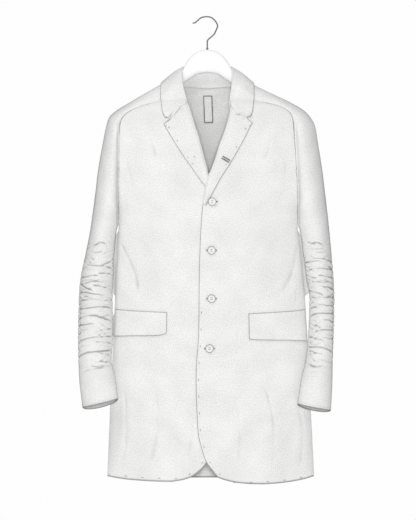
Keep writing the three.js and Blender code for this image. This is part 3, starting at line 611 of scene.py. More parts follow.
def plain_material(name, colour, rough, grain_scale, grain_depth, metal=0, spread=0.06, rim_shade_depth=0):
    """A hard finish: fine mottling in tone, roughness and bump, and a painted shade along the rim if asked
    for.
    """
    material, tree, shader = new_material(name)
    place = node(tree, "ShaderNodeTexCoord", (-1000, 0)).outputs["Object"]
    grain = noise(tree, (-800, 0), place, grain_scale, 4)
    base = shaded(tree, colour, spread, grain)
    # Painted shade along the rim
    if rim_shade_depth:
        rim = node(tree, "ShaderNodeGroup", (-600, 350),
                   {"Edge shade depth": rim_shade_depth, "Edge mm": 2.4, "Crease shade depth": 0},
                   node_tree=shared(edge_and_crease_shade_group))
        base = blended(tree, (-250, 150), 1, base, rim.outputs["Tone"], blend_type="MULTIPLY")
    gloss = ranged(tree, (-500, -100), grain, (0, 1), (rough * 0.85, rough * 1.15))
    bump = node(tree, "ShaderNodeBump", (-500, -350),
                {"Strength": 0.3, "Distance": grain_depth, "Height": grain})
    fill(tree, shader, {"Base Color": base, "Roughness": gloss, "Normal": bump.outputs[0],
                        "Metallic": metal})
    return material


MATERIALS = {}


def finish_of(name):
    """The shared materials, each made when it is first asked for."""
    if name in MATERIALS:
        return MATERIALS[name]
    look = bpy.context.scene.blazer_look
    makers = {
        "cloth": lambda: cloth_material("washed cotton cloth", look.cloth_colour),
        # The label's edges get a deeper painted shade
        "label": lambda: cloth_material("label tape", look.label_colour, thread=0.4, edge_shade_depth=0.85),
        "thread": lambda: plain_material("sewing thread", look.thread_colour, 0.8, 3000, 0.0002),
        "button": lambda: plain_material("button", look.button_colour, 0.42, 260, 0.0001, rim_shade_depth=0.8),
        "hanger": lambda: plain_material("white hanger", look.hanger_colour, 0.5, 180, 0.0001, spread=0.02),
        "steel": lambda: plain_material("hook wire", look.hook_colour, 0.5, 900, 0.00002, metal=1.0),
        "light_thread": lambda: plain_material("buttonhole thread", (0.5, 0.5, 0.5), 0.8, 3000, 0.0002),
        # Painted shadow for the buttonhole slits
        "shadow": lambda: plain_material("buttonhole slit shadow", (0.42, 0.42, 0.42), 0.9, 900, 0.0001),
    }
    MATERIALS[name] = makers[name]()
    return MATERIALS[name]


# Grids of the cloth pieces
def hem_drop(level, piece):
    """How much lower the hem of a piece hangs than its side seams, taken up over the last part."""
    return (HEM[piece] - SIDE_HEM) * np.clip((HEM_START - level) / (HEM_START - SIDE_HEM), 0, 1)


def front_grid(side, levels, spans):
    sign = SIGN[side]
    level = levels[:, None]
    low = level + hem_drop(level, side)
    half = BODY_AT[side](level)
    inner = np.arcsin(np.clip(sign * EDGE_AT[side](low) / half, -1, 1))
    u = np.sin(np.pi / 2 + (inner - np.pi / 2) * spans[None, :])
    z = low + (level - low) * np.abs(u) ** 4
    x = CENTRE + sign * u * half
    y = FACE_Y[side](x, np.maximum(z, HEM[side]))
    return np.stack([x, y, z], 2)


def level_steps(count):
    upper = np.linspace(0, 1, count)
    main = TOP_LEVEL + (HEM_START - TOP_LEVEL) * upper
    return np.concatenate([[TOP_LEVEL, TOP_LEVEL - 0.7, TOP_LEVEL - 1.8], main[1:],
                           HEM_START + (SIDE_HEM - HEM_START) * np.linspace(0.02, 1, 60)[:-1],
                           [SIDE_HEM + 0.5, SIDE_HEM]])


def side_roll(z):
    """How far the back rolls out past the side seams, left and right, behind the sleeves."""
    upper = smooth((-z - 492) / 20) * smooth((z + 655) / 12)
    lower = smooth((-z - 690) / 10) * smooth((z + 752) / 8)
    for side, share in (("left", upper + lower), ("right", upper)):
        reach = SLEEVE_AT[side]["inner"](z) - SIDE_TURN * BODY_AT[side](z) + 0.4
        yield np.clip(reach, 0, 16) * share


def back_grid(levels, spans):
    level = levels[:, None]
    low = level + hem_drop(level, "back") - 1.8 * np.clip((level + 213) / 29, 0, 1)
    u = np.sin(np.pi * (spans[None, :] - 0.5))
    half = np.where(u < 0, BODY_AT["left"](level), BODY_AT["right"](level))
    z = low + (level - low) * np.abs(u) ** 4
    x = CENTRE + u * half
    y = back_y(x, level)
    reach = np.where(u < 0, *side_roll(level))
    x = x + np.sign(u) * reach * np.exp(-((np.abs(u) - SIDE_TURN) / 0.011) ** 2)
    neck = 6 * np.exp(-((np.abs(u) - 0.72) / 0.26) ** 2) * smooth((level + 200) / 16)
    return np.stack([x, y, z + back_rise(level) + neck], 2)


def sleeve_grid(side, levels, spans):
    sign = SIGN[side]
    at = SLEEVE_AT[side]
    z = levels[:, None]
    turn = 2 * np.pi * spans[None, :]
    opened = z >= ARMPIT
    inner = np.where(opened, BODY_AT[side](z), at["inner"](z))
    seam = np.where(opened, BODY_AT["seam"](z), 0)
    front = turn <= np.pi
    half = np.where(front, turn, 2 * np.pi - turn)
    hand = np.where(front, -1, 1)
    tube_share = at["tube"](z)
    out = mix(np.sin(half / 2), (1 - np.cos(half)) / 2, tube_share)
    keep = mix(np.cos(half / 2), np.cos(half / 2) ** 2, tube_share)
    rise = np.where(front, 0, np.where(opened, back_rise(z), 0))
    x = CENTRE + sign * mix(inner, at["outer"](z), out)
    height = mix(z + rise, at["outer_z"](z), out)
    valley = np.where(opened, 9 * tube_share * np.exp(-(((half - 0.35) / 0.22) ** 2)), 0)
    valley = valley * smooth((-z - 240) / 40)
    y = hand * (seam * keep + tube_share * at["bulge"](z) * np.sin(half) - valley) + at["shift"](z)
    slant, dip = (12.0, -12.0) if side == "left" else (-7.0, -10.0)
    level_end = slant * (1 - out) if side == "left" else slant * out
    height = height + smooth((-z - 850) / 52) * (level_end + np.where(front, 0, dip) * np.sin(half))
    return np.stack([x, y, height], 2), half, front


def lapel_grid(side, rows, cols):
    sign = SIGN[side]
    at = LAPEL_AT[side]
    s = rows[:, None]
    t = cols[None, :]
    roll_z = at["roll"](s)
    roll_x = CENTRE + EDGE_AT[side](roll_z)
    bend = np.clip(1 - 3 * s, 0, 1) ** 2
    gorge = GORGE_AT[side]
    x = mix(mix(roll_x, at["x"](s), t), gorge["x"](t), bend)
    z = mix(mix(roll_z, at["z"](s), t), gorge["z"](t) - 0.2, bend)
    y = FACE_Y[side](x, z) - LAPEL_LIFT - ROLL_BULGE * np.sin(np.pi * np.sqrt(t))
    face = np.stack([x, y, z], 2)
    # The cloth turns round the edge of the front at the roll line
    full, end, fade = (2.3, -460, 90) if side == "right" else (2.0, -400, 60)
    size = 0.3 + full * smooth((roll_z - end) / fade)
    turns = np.radians(np.linspace(125, -80, 12))[None, :]
    hook_x = face[:, :1, 0] - sign * size * np.cos(turns)
    hook_y = face[:, :1, 1] + 1.6 + size * np.sin(turns)
    hook = np.stack([hook_x, hook_y, np.broadcast_to(face[:, :1, 2], hook_x.shape)], 2)
    return np.concatenate([hook, face[:, 1:]], 1)


def collar_grid(stations, cols):
    """One sheet: up the stand, over the roll and down the fall to the outer edge."""
    half = np.array(COLLAR, float)
    mirror = half.copy()
    half[:, 0::3] *= -1
    full = np.vstack([half, mirror[:-1][::-1]])
    line = catmull(full, stations)
    foot, roll, bulge, outer = (line[:, k:k + 3] for k in (0, 3, 6, 9))
    s = np.linspace(0, 1, stations)
    near = np.clip(1 - np.minimum(s, 1 - s) * 8, 0, 1)
    away = bulge - roll
    away[:, 2] = 0
    away /= np.linalg.norm(away, axis=1, keepdims=True)
    gap = mix(4.4, 2.6, near)[:, None]
    inside = roll - away * gap
    inside[:, 2] -= 3.5
    peak = roll - away * gap * 0.45
    peak[:, 2] += mix(1.2, 0.2, near)
    rows = []
    t = cols
    for i in range(stations):
        side = "left" if s[i] < 0.5 else "right"
        fall = (roll[i] * ((1 - t) ** 2)[:, None] + bulge[i] * (2 * t * (1 - t))[:, None]
                + outer[i] * (t * t)[:, None])
        if near[i] > 0:
            notch = np.clip((t - NOTCH_START) / (1 - NOTCH_START), 0, 1)
            at = np.minimum(t, NOTCH_START)
            gx = GORGE_AT[side]["x"](at) + notch * (-15.5 if side == "left" else 11.5)
            gz = GORGE_AT[side]["z"](at) + 0.2 + 1.8 * notch
            fall[:, 0] = mix(fall[:, 0], gx, near[i])
            fall[:, 2] = mix(fall[:, 2], gz, near[i])
        low = (fall[:, 1] < 0) & (fall[:, 2] < -186)
        face = FACE_Y[side](fall[:, 0], fall[:, 2]) - FALL_LIFT - ROLL_BULGE * np.sin(np.pi * np.sqrt(t))
        fall[:, 1] = np.where(low, mix(fall[:, 1], face, smooth((-186 - fall[:, 2]) / 14)), fall[:, 1])
        slide = (fall[0] - roll[i]) * [1, 0, 1]
        low_edge, top_edge = foot[i] + slide, inside[i] + slide
        middle = mix(low_edge, top_edge, 0.55)
        stand = catmull([low_edge, middle, top_edge, peak[i] + slide, fall[1]], 26)[:-1]
        rows.append(np.concatenate([stand, fall[1:]]))
    return np.array(rows)


def shares(grid):
    """How far along a grid its rows and its columns lie, from 0 to 1."""
    return np.linspace(0, 1, grid.shape[0])[:, None], np.linspace(0, 1, grid.shape[1])[None, :]


def add_piece(obj, slot_name, *nodes):
    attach(obj, "root")
    if nodes:
        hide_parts(*nodes)


def add_rods(name, rods, finish, slot_name, *nodes):
    """Several rods as one piece."""
    points, faces = join_parts(rods)
    add_piece(mesh_object(name, points, faces, finish_of(finish)), slot_name, *nodes)


# Settings and operators
class BlazerLook(bpy.types.PropertyGroup):
    """Sizes and colours of the blazer and its hanger"""
    cloth_colour: bpy.props.FloatVectorProperty(
        name="Cloth", description="Colour of the cloth", subtype="COLOR", size=3, min=0, max=1,
        default=(0.83, 0.83, 0.825))
    label_colour: bpy.props.FloatVectorProperty(
        name="Label", description="Colour of the bare label", subtype="COLOR", size=3, min=0, max=1,
        default=(0.88, 0.88, 0.875))
    thread_colour: bpy.props.FloatVectorProperty(
        name="Thread", description="Colour of the sewing thread", subtype="COLOR", size=3, min=0, max=1,
        default=(0.16, 0.16, 0.16))
    button_colour: bpy.props.FloatVectorProperty(
        name="Buttons", description="Colour of the buttons", subtype="COLOR", size=3, min=0, max=1,
        default=(0.78, 0.78, 0.775))
    hanger_colour: bpy.props.FloatVectorProperty(
        name="Hanger", description="Colour of the hanger", subtype="COLOR", size=3, min=0, max=1,
        default=(0.93, 0.93, 0.93))
    hook_colour: bpy.props.FloatVectorProperty(
        name="Hook", description="Colour of the hook wire", subtype="COLOR", size=3, min=0, max=1,
        default=(0.2, 0.2, 0.2))
    cloth_thickness: bpy.props.FloatProperty(
        name="Cloth thickness", description="Thickness of the cloth", unit="LENGTH", default=0.0016,
        min=0.0008, max=0.002)
    stitch_gap: bpy.props.FloatProperty(
        name="Tack spacing", description="Distance between the tack stitches", unit="LENGTH",
        default=0.039, min=0.01, max=0.1)


class BlazerFronts(bpy.types.Operator):
    """Cut and hang both front panels"""
    bl_idname = "blazer.fronts"
    bl_label = "Fronts"

    def execute(self, context):
        for side, flip in (("left", 1), ("right", -1)):
            grid = front_grid(side, level_steps(190), even(104, 0.02))
            x, z = grid[..., 0], grid[..., 2]
            relief = creased(x, z, DRAGS) * DRAG_SHARE + rumple(x, z) * RUMPLE_SHARE
            # Distance from the front edge and the hem, for the painted edge shade
            near = np.minimum(line_distance(grid, grid[:, -1]), line_distance(grid, grid[-1]))
            near = near * mix(1, 0.4, smooth((-z - 1030) / 30))
            obj = cloth_piece("front_panel_" + side, grid, flip, relief, near=near)
            add_piece(obj, "cloth", "front_" + side)
        return {"FINISHED"}


class BlazerBack(bpy.types.Operator):
    """Cut and hang the back panel"""
    bl_idname = "blazer.back"
    bl_label = "Back"

    def execute(self, context):
        grid = back_grid(level_steps(170), even(140, 0.012))
        x, z = grid[..., 0], grid[..., 2]
        relief = creased(-x, z + 20, DRAGS) * DRAG_SHARE + rumple(x + 50, z) * RUMPLE_SHARE
        obj = cloth_piece("back_panel", grid, -1, relief, lines=[("foot", 0.4, 1)])
        add_piece(obj, "cloth", "back")
        return {"FINISHED"}


def sleeve_creases(across, z, rows):
    wide = dict(rows, a0=rows["a0"] * SLEEVE_SPAN, a1=rows["a1"] * SLEEVE_SPAN)
    return creased(across * SLEEVE_SPAN, z, wide, ("a0", "z0", "a1", "z1"))


def sleeve_relief(across, z, front, rows, shift):
    """Listed creases, fine crumpling round the elbow, and the lines of its patch."""
    seen = sleeve_creases(across, z, rows)
    behind = sleeve_creases(across, z + shift, CREASES_HIDDEN)
    blend = smooth((across - 0.9) / 0.1) * 0.5
    relief = np.where(front, mix(seen, behind, blend), mix(behind, seen, blend)) * SLEEVE_CREASES
    relief = relief * smooth(across / 0.08)
    elbow = smooth((ELBOW[0] - z) / 80) * smooth((z - ELBOW[1]) / 60)
    ridge = z / 4.4 + 2.4 * np.sin(across * 5 + z / 31) + 1.1 * np.sin(across * 11 - z / 17)
    patch = smooth(0.5 + 0.9 * np.sin(across * 8 + z / 23 + 2 * np.sin(z / 47)))
    crinkle = 0.3 - (1 - np.abs(np.sin(ridge))) ** 2 * patch
    side_line = np.exp(-(((across - 0.86) * SLEEVE_SPAN) / 2.2) ** 2)
    side_line = side_line * smooth((-z - 590) / 20) * smooth((z + 760) / 20)
    bands = sum(np.exp(-((z - level) / 2.0) ** 2) for level in SLEEVE_LINES)
    sewn = np.where(front, side_line * (1.1 + 0.7 * np.sin(z / 1.9)) + bands, 0)
    return relief + SLEEVE_CRINKLE * crinkle * elbow + rumple(across * 120, z) * 0.8 - sewn


class BlazerSleeves(bpy.types.Operator):
    """Make both saddle sleeves with their crumpled elbows"""
    bl_idname = "blazer.sleeves"
    bl_label = "Sleeves"

    def execute(self, context):
        levels = np.concatenate([
            np.linspace(TOP_LEVEL, -262, 46), np.linspace(-264.5, -500, 80),
            np.linspace(-501.8, -840, 190), np.linspace(-843, -899, 20), [-900.5, -901.4, -902]])
        for side, flip, rows in (("left", -1, CREASES_LEFT), ("right", 1, CREASES_RIGHT)):
            grid, half, front = sleeve_grid(side, levels, even(112, 0.008))
            across = np.broadcast_to(half / np.pi, grid.shape[:2])
            z = np.broadcast_to(levels[:, None], across.shape)
            relief = sleeve_relief(across, z, front, rows, 4 if side == "left" else -7)
            obj = cloth_piece("saddle_sleeve_" + side, grid, flip, relief, lines=[("foot", 0.6, 1)])
            add_piece(obj, "cloth", "sleeve_" + side, "forearm_" + side)
        return {"FINISHED"}


class BlazerCollar(bpy.types.Operator):
    """Fold the collar over its stand"""
    bl_idname = "blazer.collar"
    bl_label = "Collar"

    def execute(self, context):
        grid = collar_grid(180, even(40, 0.03))
        s, t = shares(grid)
        end = np.exp(-(np.minimum(s, 1 - s) / 0.05) ** 2)
        relief = 1.3 * end * np.sin(t * 26 + s * 90) * smooth((t - 0.35) / 0.1)
        relief = relief + 0.5 * np.sin(s * 61 + 3 * t) * np.sin(t * 9) * smooth((t - 0.4) / 0.2)
        relief = relief - 0.7 * np.exp(-((s - 0.5) / 0.004) ** 2)
        notch = smooth((t - 0.84) / 0.04)
        lines = [("last", 1, 1), ("top", 1, notch), ("foot", 1, notch)]
        obj = cloth_piece("collar", grid, 1, relief, lines=lines)
        add_piece(obj, "cloth", "collar_fall", "collar_stand")
        return {"FINISHED"}


class BlazerLapels(bpy.types.Operator):
    """Turn both lapels over the fronts"""
    bl_idname = "blazer.lapels"
    bl_label = "Lapels"

    def execute(self, context):
        for side, flip, flat, area in (
                ("left", -1, (0.075, 0.19), 0.0098), ("right", 1, (0.07, 0.235), 0.0102)):
            grid = lapel_grid(side, even(96, 0.02), even(44, 0.04))
            s, t = shares(grid)
            gorge = np.exp(-((s - 0.08) / 0.07) ** 2) * smooth((t - 0.3) / 0.2)
            relief = gorge * np.sin(t * 19 + s * 40) + 0.35 * np.sin(s * 31 + 4 * t) * np.sin(t * 6)
            lines = [("last", 1, 1), ("top", 1, smooth((t - NOTCH_START) / 0.06))]
            obj = cloth_piece("lapel_face_" + side, grid, flip, relief, lines=lines)
            add_piece(obj, "cloth", "lapel_" + side)
        return {"FINISHED"}


class BlazerFlaps(bpy.types.Operator):
    """Lay the pocket flaps on the fronts"""
    bl_idname = "blazer.flaps"
    bl_label = "Pocket flaps"

    def execute(self, context):
        settings = (("left", 1, 26.5, lambda t: -682 - 7 * t, lambda t: -746 + 3 * t, 9, (0.132, 0.06)),
                    ("right", -1, 23.5, lambda t: -683 - 9 * t, lambda t: -757 + 4 * t, 1.5, (0.145, 0.07)))
        for side, flip, front, top, bottom, round_by, flat in settings:
            t = even(64, 0.03)[None, :]
            v = even(30, 0.04)[:, None]
            angle = np.radians(mix(79.0, front, t))
            corner = np.clip((t - 0.86) / 0.14, 0, 1)
            low = bottom(t) + round_by * (1 - np.sqrt(1 - 0.96 * corner ** 2))
            z = mix(top(t), low, v)
            half = BODY_AT[side](z)
            x = CENTRE + SIGN[side] * np.sin(angle) * half
            base = np.stack([x, FACE_Y[side](x, z), z], 2)
            normals = grid_normals(base, flip)
            drape = FLAP_LIFT + 0.9 * v ** 2 * np.sin(t * 5.2 + 0.6) ** 2
            grid = base + normals * drape[..., None]
            relief = rumple(x, z) * 0.8 + creased(x, z, DRAGS) * 0.5
            lines = [("last", 1, 1), ("top", 1, 1), ("foot", 1, 1)]
            obj = cloth_piece("pocket_flap_" + side, grid, flip, relief, pucker=0.35, lines=lines)
            add_piece(obj, "cloth", "flap_" + side)
        return {"FINISHED"}


class BlazerLabel(bpy.types.Operator):
    """Whip stitch the bare label inside the back"""
    bl_idname = "blazer.label"
    bl_label = "Label"

    def execute(self, context):
        t = even(20, 0.04)[None, :]
        v = even(50, 0.02)[:, None]
        z = mix(LABEL_TOP, LABEL_FOOT, v) + 0 * t
        x = mix(-9.1, 10.8, t) + 2.3 * v
        level = z
        for _ in range(6):
            level = z - back_rise(level)
        y = back_y(x, level) - LABEL_LIFT
        grid = np.stack([x, y, z], 2)
        relief = 0.25 * np.sin(v * 21) * np.sin(t * 5)
        lines = [(edge, 1, 1) for edge in ("first", "last", "top", "foot")]
        obj = cloth_piece("label_patch", grid, 1, relief, "label", LABEL_THICKNESS, 0.15, lines)
        add_piece(obj, "label", "label")
        stitches = []
        corners = [grid[0, 0], grid[0, -1], grid[-1, -1], grid[-1, 0]]
        middle = sum(corners) / 4
        for a, b in zip(corners, corners[1:] + corners[:1]):
            count = max(4, int(np.linalg.norm(b - a) / LABEL_STITCH_PITCH))
            for k in range(count):
                p = mix(a, b, (k + 0.5) / count)
                out = (p - middle) / np.linalg.norm(p - middle)
                slant = (b - a) / np.linalg.norm(b - a)
                path = [p - out * 1.5 + [0, 0.2, 0], p - out * 0.4 - slant * 0.3 + [0, -0.6, 0],
                        p + out * 0.9 - slant * 0.7 + [0, 0.5, 0]]
                stitches.append(tube(catmull(path, 6), 0.62, 6))
        add_rods("label_stitches", stitches, "thread", "label")
        return {"FINISHED"}


def button_mesh(name, material):
    """A turned button with a raised rim and four bored holes."""
    profile = [(-1.4, 0), (-0.6, 0.25), (0, 1.0), (0, 2.2), (-0.25, 2.8), (-0.9, 3.2), (-1.7, 3.2),
               (-2.3, 2.9), (-2.9, 2.25), (-3.6, 2.15), (-6.1, 2.05)]
    turns = np.arange(48) * 2 * np.pi / 48
    points = [((BUTTON_RADIUS + r) * math.cos(a), -h, (BUTTON_RADIUS + r) * math.sin(a))
              for r, h in profile for a in turns]
    faces = [face[::-1] for face in ring_faces(len(profile), len(turns))]
    obj = mesh_object(name, points, faces, material)
    cutters = []
    for a, b in ((1, 1), (1, -1), (-1, 1), (-1, -1)):
        x, z = a * HOLE_OFFSET, b * HOLE_OFFSET
        ring = [(x + HOLE_RADIUS * math.cos(t), y, z + HOLE_RADIUS * math.sin(t))
                for y in (2, -5) for t in np.arange(16) * np.pi / 8]
        cutters.append((np.array(ring), ring_faces(2, 16)))
    points, faces = join_parts(cutters)
    cutter = mesh_object(name + "_bores", points, faces, material)
    for piece in (obj, cutter):
        bpy.context.view_layer.objects.active = piece
        bpy.ops.object.select_all(action="DESELECT")
        piece.select_set(True)
        bpy.ops.object.mode_set(mode="EDIT")
        bpy.ops.mesh.select_all(action="SELECT")
        bpy.ops.mesh.normals_make_consistent(inside=False)
        bpy.ops.object.mode_set(mode="OBJECT")
    bpy.context.view_layer.objects.active = obj
    cut = obj.modifiers.new("bores", "BOOLEAN")
    cut.operation, cut.object, cut.solver = "DIFFERENCE", cutter, "EXACT"
    bpy.ops.object.modifier_apply(modifier=cut.name)
    bpy.data.objects.remove(cutter)
    obj.data.shade_smooth()
    obj.data.set_sharp_from_angle(angle=math.radians(38))
    return obj


class BlazerButtons(bpy.types.Operator):
    """Sew on the buttons and work their buttonholes"""
    bl_idname = "blazer.buttons"
    bl_label = "Buttons"

    def execute(self, context):
        first = button_mesh("front_button_1", finish_of("button"))
        for i, (x, z, lift, tilt) in enumerate(BUTTONS):
            obj = first if i == 0 else first.copy()
            if i:
                obj.data = first.data.copy()
                obj.name = "front_button_%d" % (i + 1)
                bpy.context.scene.collection.objects.link(obj)
            y = float(over_y(np.array(x), np.array(z))) - lift
            turn = math.radians(tilt)
            spin = np.array([[math.cos(turn), 0, math.sin(turn)], [0, 1, 0],
                             [-math.sin(turn), 0, math.cos(turn)]])
            co = np.zeros(len(obj.data.vertices) * 3)
            obj.data.vertices.foreach_get("co", co)
            if i == 0:
                plain = co.reshape(-1, 3).copy()
            # Distance in from the button's rim, which sets the painted shade along its rim
            rim = obj.data.attributes.get("edge_mm")
            rim = rim or obj.data.attributes.new("edge_mm", "FLOAT", "POINT")
            inward = 9.9 - 1000 * np.hypot(plain[:, 0], plain[:, 2])
            rim.data.foreach_set("value", inward.astype(np.float32))
            obj.data.vertices.foreach_set("co", (plain @ spin.T + np.array([x, y, z]) / 1000).ravel())
            obj.data.update()
            add_piece(obj, "button", "button_%d" % (i + 1))
            strands = []
            for row in (-HOLE_OFFSET, HOLE_OFFSET):
                for k in (-0.4, 0, 0.4):
                    arc = np.array([(-HOLE_OFFSET, 0.5, row + k), (-1.6, -2.8, row + k),
                                    (0, -3.2, row + 1.3 * k), (1.6, -2.8, row + k),
                                    (HOLE_OFFSET, 0.5, row + k)])
                    strands.append(tube(catmull(arc @ spin.T + [x, y, z], 20), 0.24, 6))
            add_rods("button_thread_%d" % (i + 1), strands, "light_thread", "button")
        self.buttonholes()
        return {"FINISHED"}

    def buttonholes(self):
        """Worked buttonholes, each a ring of close stitches round a slit, with a dark rod as painted shadow
        in the slit.
        """
        places = [((x - 13, z), (x + 13.5, z), "right", 0.4) for x, z, _, _ in BUTTONS[1:]]
        places.append(((-2, -432), (24.5, -432), "right", 0.4))
        self.sew("front_buttonholes", places, 0.35, 1.75, "light_thread")
        self.sew("lapel_buttonhole", [((34.2, -328.6), (52, -338.4), "right", 6.6)], 1.5, 3.8, "thread")

    def sew(self, name, places, inside, outside, look):
        bars, slit_shadows = [], []
        for (x0, z0), (x1, z1), side, lift in places:
            start, end = np.array([x0, 0, z0]), np.array([x1, 0, z1])
            along = (end - start) / np.linalg.norm(end - start)
            across = np.array([-along[2], 0, along[0]])
            length = np.linalg.norm(end - start)
            for k in range(int(length / HOLE_STITCH_PITCH)):
                for hand in (-1, 1):
                    p = start + along * (k + 0.5) * HOLE_STITCH_PITCH
                    root, tip = p + across * hand * inside, p + across * hand * outside
                    path = []
                    for q, up in ((root, 0.1), (mix(root, tip, 0.5), 0.75), (tip, -0.1)):
                        y = float(FACE_Y[side](q[0], q[2])) - lift - up
                        path.append([q[0], y, q[2]])
                    bars.append(tube(catmull(path, 5), 0.36, 5))
            # A dark rod along the slit: painted shadow in the opening
            path = [[p[0], float(FACE_Y[side](p[0], p[2])) - lift - 0.12, p[2]]
                    for p in (mix(start, end, k / 12) for k in range(13))]
            slit_shadows.append(tube(path, 0.3, 6))
        add_rods(name + "_stitches", bars, look, "cloth")
        add_rods(name + "_slits", slit_shadows, "shadow", "cloth")


class BlazerStitches(bpy.types.Operator):
    """Place the tack stitches along the hem, the front edge and the lapels"""
    bl_idname = "blazer.stitches"
    bl_label = "Tack stitches"

    def execute(self, context):
        gap = context.scene.blazer_look.stitch_gap * 1000
        tacks = []
        for x in np.arange(-190, -70, gap):
            tacks.append(("left", x, -1076 + 9 * ((x - 6) / 232) ** 4, (1, 0), 0.3))
        for x in np.arange(102 - gap, 232, gap):
            tacks.append(("right", x, -1085 + 14 * ((x - 6) / 232) ** 4, (1, 0), 0.3))
        for z in np.arange(-690, -1000, -gap):
            tacks.append(("right", float(EDGE_AT["right"](z)) + CENTRE + 6, z, (0, 1), 0.3))
        for side, at in LAPEL_AT.items():
            for s in (0.12, 0.36, 0.6, 0.84):
                x, z = float(at["x"](s)) - 7 * SIGN[side], float(at["z"](s)) + 3
                tacks.append((side, x, z, (1, -1), LAPEL_TACK_LIFT))
        for x, z in ((-41, -1065.8), (-11.4, -1039.5)):
            tacks.append(("left", x, z, (1, 1), 0.3))
        for x, z in ((-8, -1001.7), (6.7, -1038), (29.6, -1065.8)):
            tacks.append(("right", x, z, (-1, 1), 0.3))
        bars = []
        for side, x, z, (dx, dz), lift in tacks:
            size = 2.4 / math.hypot(dx, dz)
            ends = []
            for k, up in ((-1, -0.4), (-0.5, 0.35), (0.5, 0.35), (1, -0.4)):
                px, pz = x + dx * size * k, z + dz * size * k
                ends.append([px, float(FACE_Y[side](px, pz)) - lift - up, pz])
            bars.append(tube(catmull(ends, 9), 0.5, 6))
        for x, z in ((-30, -327.6), (-34.6, -344)):
            y = float(front_y(x, z)) - 6.3
            bars.append(tube([[x - 1.3, y + 0.4, z], [x, y - 0.4, z], [x + 1.3, y + 0.4, z]], 0.6, 6))
        add_rods("tack_stitches", bars, "thread", "cloth")
        self.cuff_rows()
        return {"FINISHED"}

    def cuff_rows(self):
        """A row of stitches round each cuff, a little above its edge."""
        dashes = []
        for side, flip in (("left", -1), ("right", 1)):
            for start in np.arange(0.01, 0.99, CUFF_PITCH):
                spans = start + CUFF_PITCH * np.array([0, 0.1, 0.35, 0.6, 0.7])
                grid = sleeve_grid(side, CUFF_ROW + np.array([2.5, 0, -2.5]), spans)[0]
                out = grid_normals(grid, flip)[1]
                rise = np.array([-0.5, 0.1, 0.3, 0.1, -0.5])[:, None]
                dashes.append(tube(grid[1] + out * rise, 0.32, 5))
        add_rods("cuff_stitches", dashes, "light_thread", "cloth")


class BlazerHanger(bpy.types.Operator):
    """Shape the domed hanger and bend its hook"""
    bl_idname = "blazer.hanger"
    bl_label = "Hanger"

    def execute(self, context):
        at = columns(HANGER, "x")
        right = np.concatenate([np.linspace(0, 66, 60), np.linspace(69, 216, 50),
                                [219, 221.5, 223.2, 224]])
        xs = np.concatenate([-right[:0:-1], right])
        sides = 32
        turn = np.arange(sides) * 2 * np.pi / sides
        c, s = np.cos(turn), np.sin(turn)
        y = np.sign(c) * np.abs(c) ** 0.72
        h = 0.5 + 0.5 * np.sign(s) * np.abs(s) ** 0.72
        reach = np.abs(xs)[:, None]
        points = np.stack([xs[:, None] + 0 * y[None], at["thick"](reach) * y[None],
                           mix(at["bottom"](reach), at["top"](reach), h[None])], 2)
        faces = ring_faces(len(xs), sides)
        obj = mesh_object("hanger_bar", points.reshape(-1, 3), faces, finish_of("hanger"))
        add_piece(obj, "hanger", "hanger_body")
        path = catmull([(x, 0, z) for x, z in HOOK], 220)
        radius = np.full(len(path), 1.65)
        radius[:4] = (0.7, 1.2, 1.5, 1.62)
        ferrule = tube([(0, 0, -71.5), (0, 0, -72), (0, 0, -74.6), (0, 0, -74.9)], [2.2, 2.8, 2.8, 2.4], 24)
        add_rods("hook_wire", [tube(path, radius, 16), ferrule], "steel", "hook", "hanger_hook")
        return {"FINISHED"}


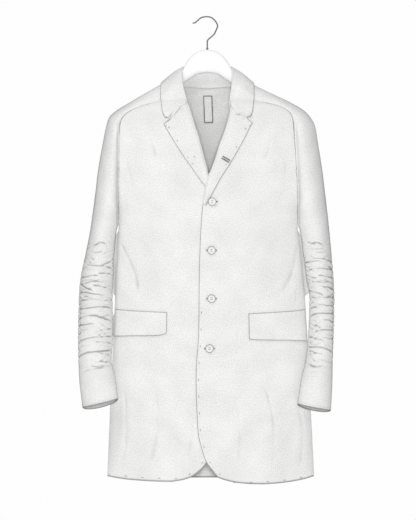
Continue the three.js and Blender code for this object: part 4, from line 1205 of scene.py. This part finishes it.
class BlazerStage(bpy.types.Operator):
    """Set the floor, the lights and the camera"""
    bl_idname = "blazer.stage"
    bl_label = "Stage"

    def execute(self, context):
        scene = context.scene
        data = bpy.data.cameras.new("camera")
        data.sensor_fit = "VERTICAL"
        data.sensor_height = 36
        data.lens = data.sensor_height * CAMERA_DISTANCE / (PICTURE_DOTS * DOT_SIZE)
        data.clip_end = 40
        camera = bpy.data.objects.new("camera", data)
        camera.location = (CAMERA_SIDE, -CAMERA_DISTANCE, CAMERA_HEIGHT)
        camera.rotation_euler = (math.pi / 2, 0, 0)
        scene.collection.objects.link(camera)
        scene.camera = camera
        floor_look = plain_material("pale floor", (0.9, 0.9, 0.9), 0.7, 30, 0.0002, spread=0.01)
        points = [(a * FLOOR_REACH, b * FLOOR_REACH, FLOOR_LEVEL)
                  for a, b in ((-1, -1), (1, -1), (1, 1), (-1, 1))]
        mesh_object("floor", points, [[0, 1, 2, 3]], floor_look, smooth_shading=False)
        lights = (("key", (-1.0, -1.9, 1.7), 0.9, 17), ("front", (0.05, -4.6, -0.42), 0.7, 94),
                  ("back", (0.4, 2.4, 0.8), 2.0, 30))
        for name, place, size, power in lights:
            lamp = bpy.data.lights.new(name, "AREA")
            lamp.size = size
            lamp.energy = power
            obj = bpy.data.objects.new(name, lamp)
            obj.location = place
            aim = np.array([0, 0, -0.6]) - np.array(place)
            obj.rotation_euler = (math.atan2(math.hypot(aim[0], aim[1]), -aim[2]), 0,
                                  math.atan2(aim[1], aim[0]) - math.pi / 2)
            scene.collection.objects.link(obj)
        scene.view_settings.view_transform = "Standard"
        world = bpy.data.worlds.new("studio")
        world.use_nodes = True
        scene.world = world
        tree = world.node_tree
        tree.nodes.clear()
        seen = node(tree, "ShaderNodeLightPath", (-600, 200)).outputs["Is Camera Ray"]
        soft = node(tree, "ShaderNodeBackground", (-300, -100), {"Color": (1, 1, 1, 1), "Strength": 0.42})
        bright = node(tree, "ShaderNodeBackground", (-300, 100), {"Color": (0.99, 0.99, 0.99, 1)})
        either = node(tree, "ShaderNodeMixShader", (0, 0),
                      {0: seen, 1: soft.outputs[0], 2: bright.outputs[0]})
        node(tree, "ShaderNodeOutputWorld", (200, 0), {0: either.outputs[0]})
        return {"FINISHED"}


class BlazerPanel(bpy.types.Panel):
    """Lists the pieces of the blazer"""
    bl_idname = "VIEW3D_PT_blazer"
    bl_label = "Blazer"
    bl_space_type = "VIEW_3D"
    bl_region_type = "UI"
    bl_category = "Blazer"

    def draw(self, context):
        look = context.scene.blazer_look
        for name in BlazerLook.__annotations__:
            self.layout.prop(look, name)
        for piece in PIECES:
            self.layout.operator(piece.bl_idname)


PIECES = (BlazerStage, BlazerFronts, BlazerBack, BlazerSleeves, BlazerCollar, BlazerLapels, BlazerFlaps,
          BlazerLabel, BlazerButtons, BlazerStitches, BlazerHanger)
CLASSES = (BlazerLook, *PIECES, BlazerPanel)


def register():
    for cls in CLASSES:
        bpy.utils.register_class(cls)
    bpy.types.Scene.blazer_look = bpy.props.PointerProperty(type=BlazerLook)


def unregister():
    del bpy.types.Scene.blazer_look
    for cls in reversed(CLASSES):
        bpy.utils.unregister_class(cls)


def main():
    register()
    bpy.ops.blazer.stage()
    bpy.ops.blazer.fronts()
    bpy.ops.blazer.back()
    bpy.ops.blazer.sleeves()
    bpy.ops.blazer.collar()
    bpy.ops.blazer.lapels()
    bpy.ops.blazer.flaps()
    bpy.ops.blazer.label()
    bpy.ops.blazer.buttons()
    bpy.ops.blazer.stitches()
    bpy.ops.blazer.hanger()
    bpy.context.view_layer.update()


if __name__ == "__main__":
    main()
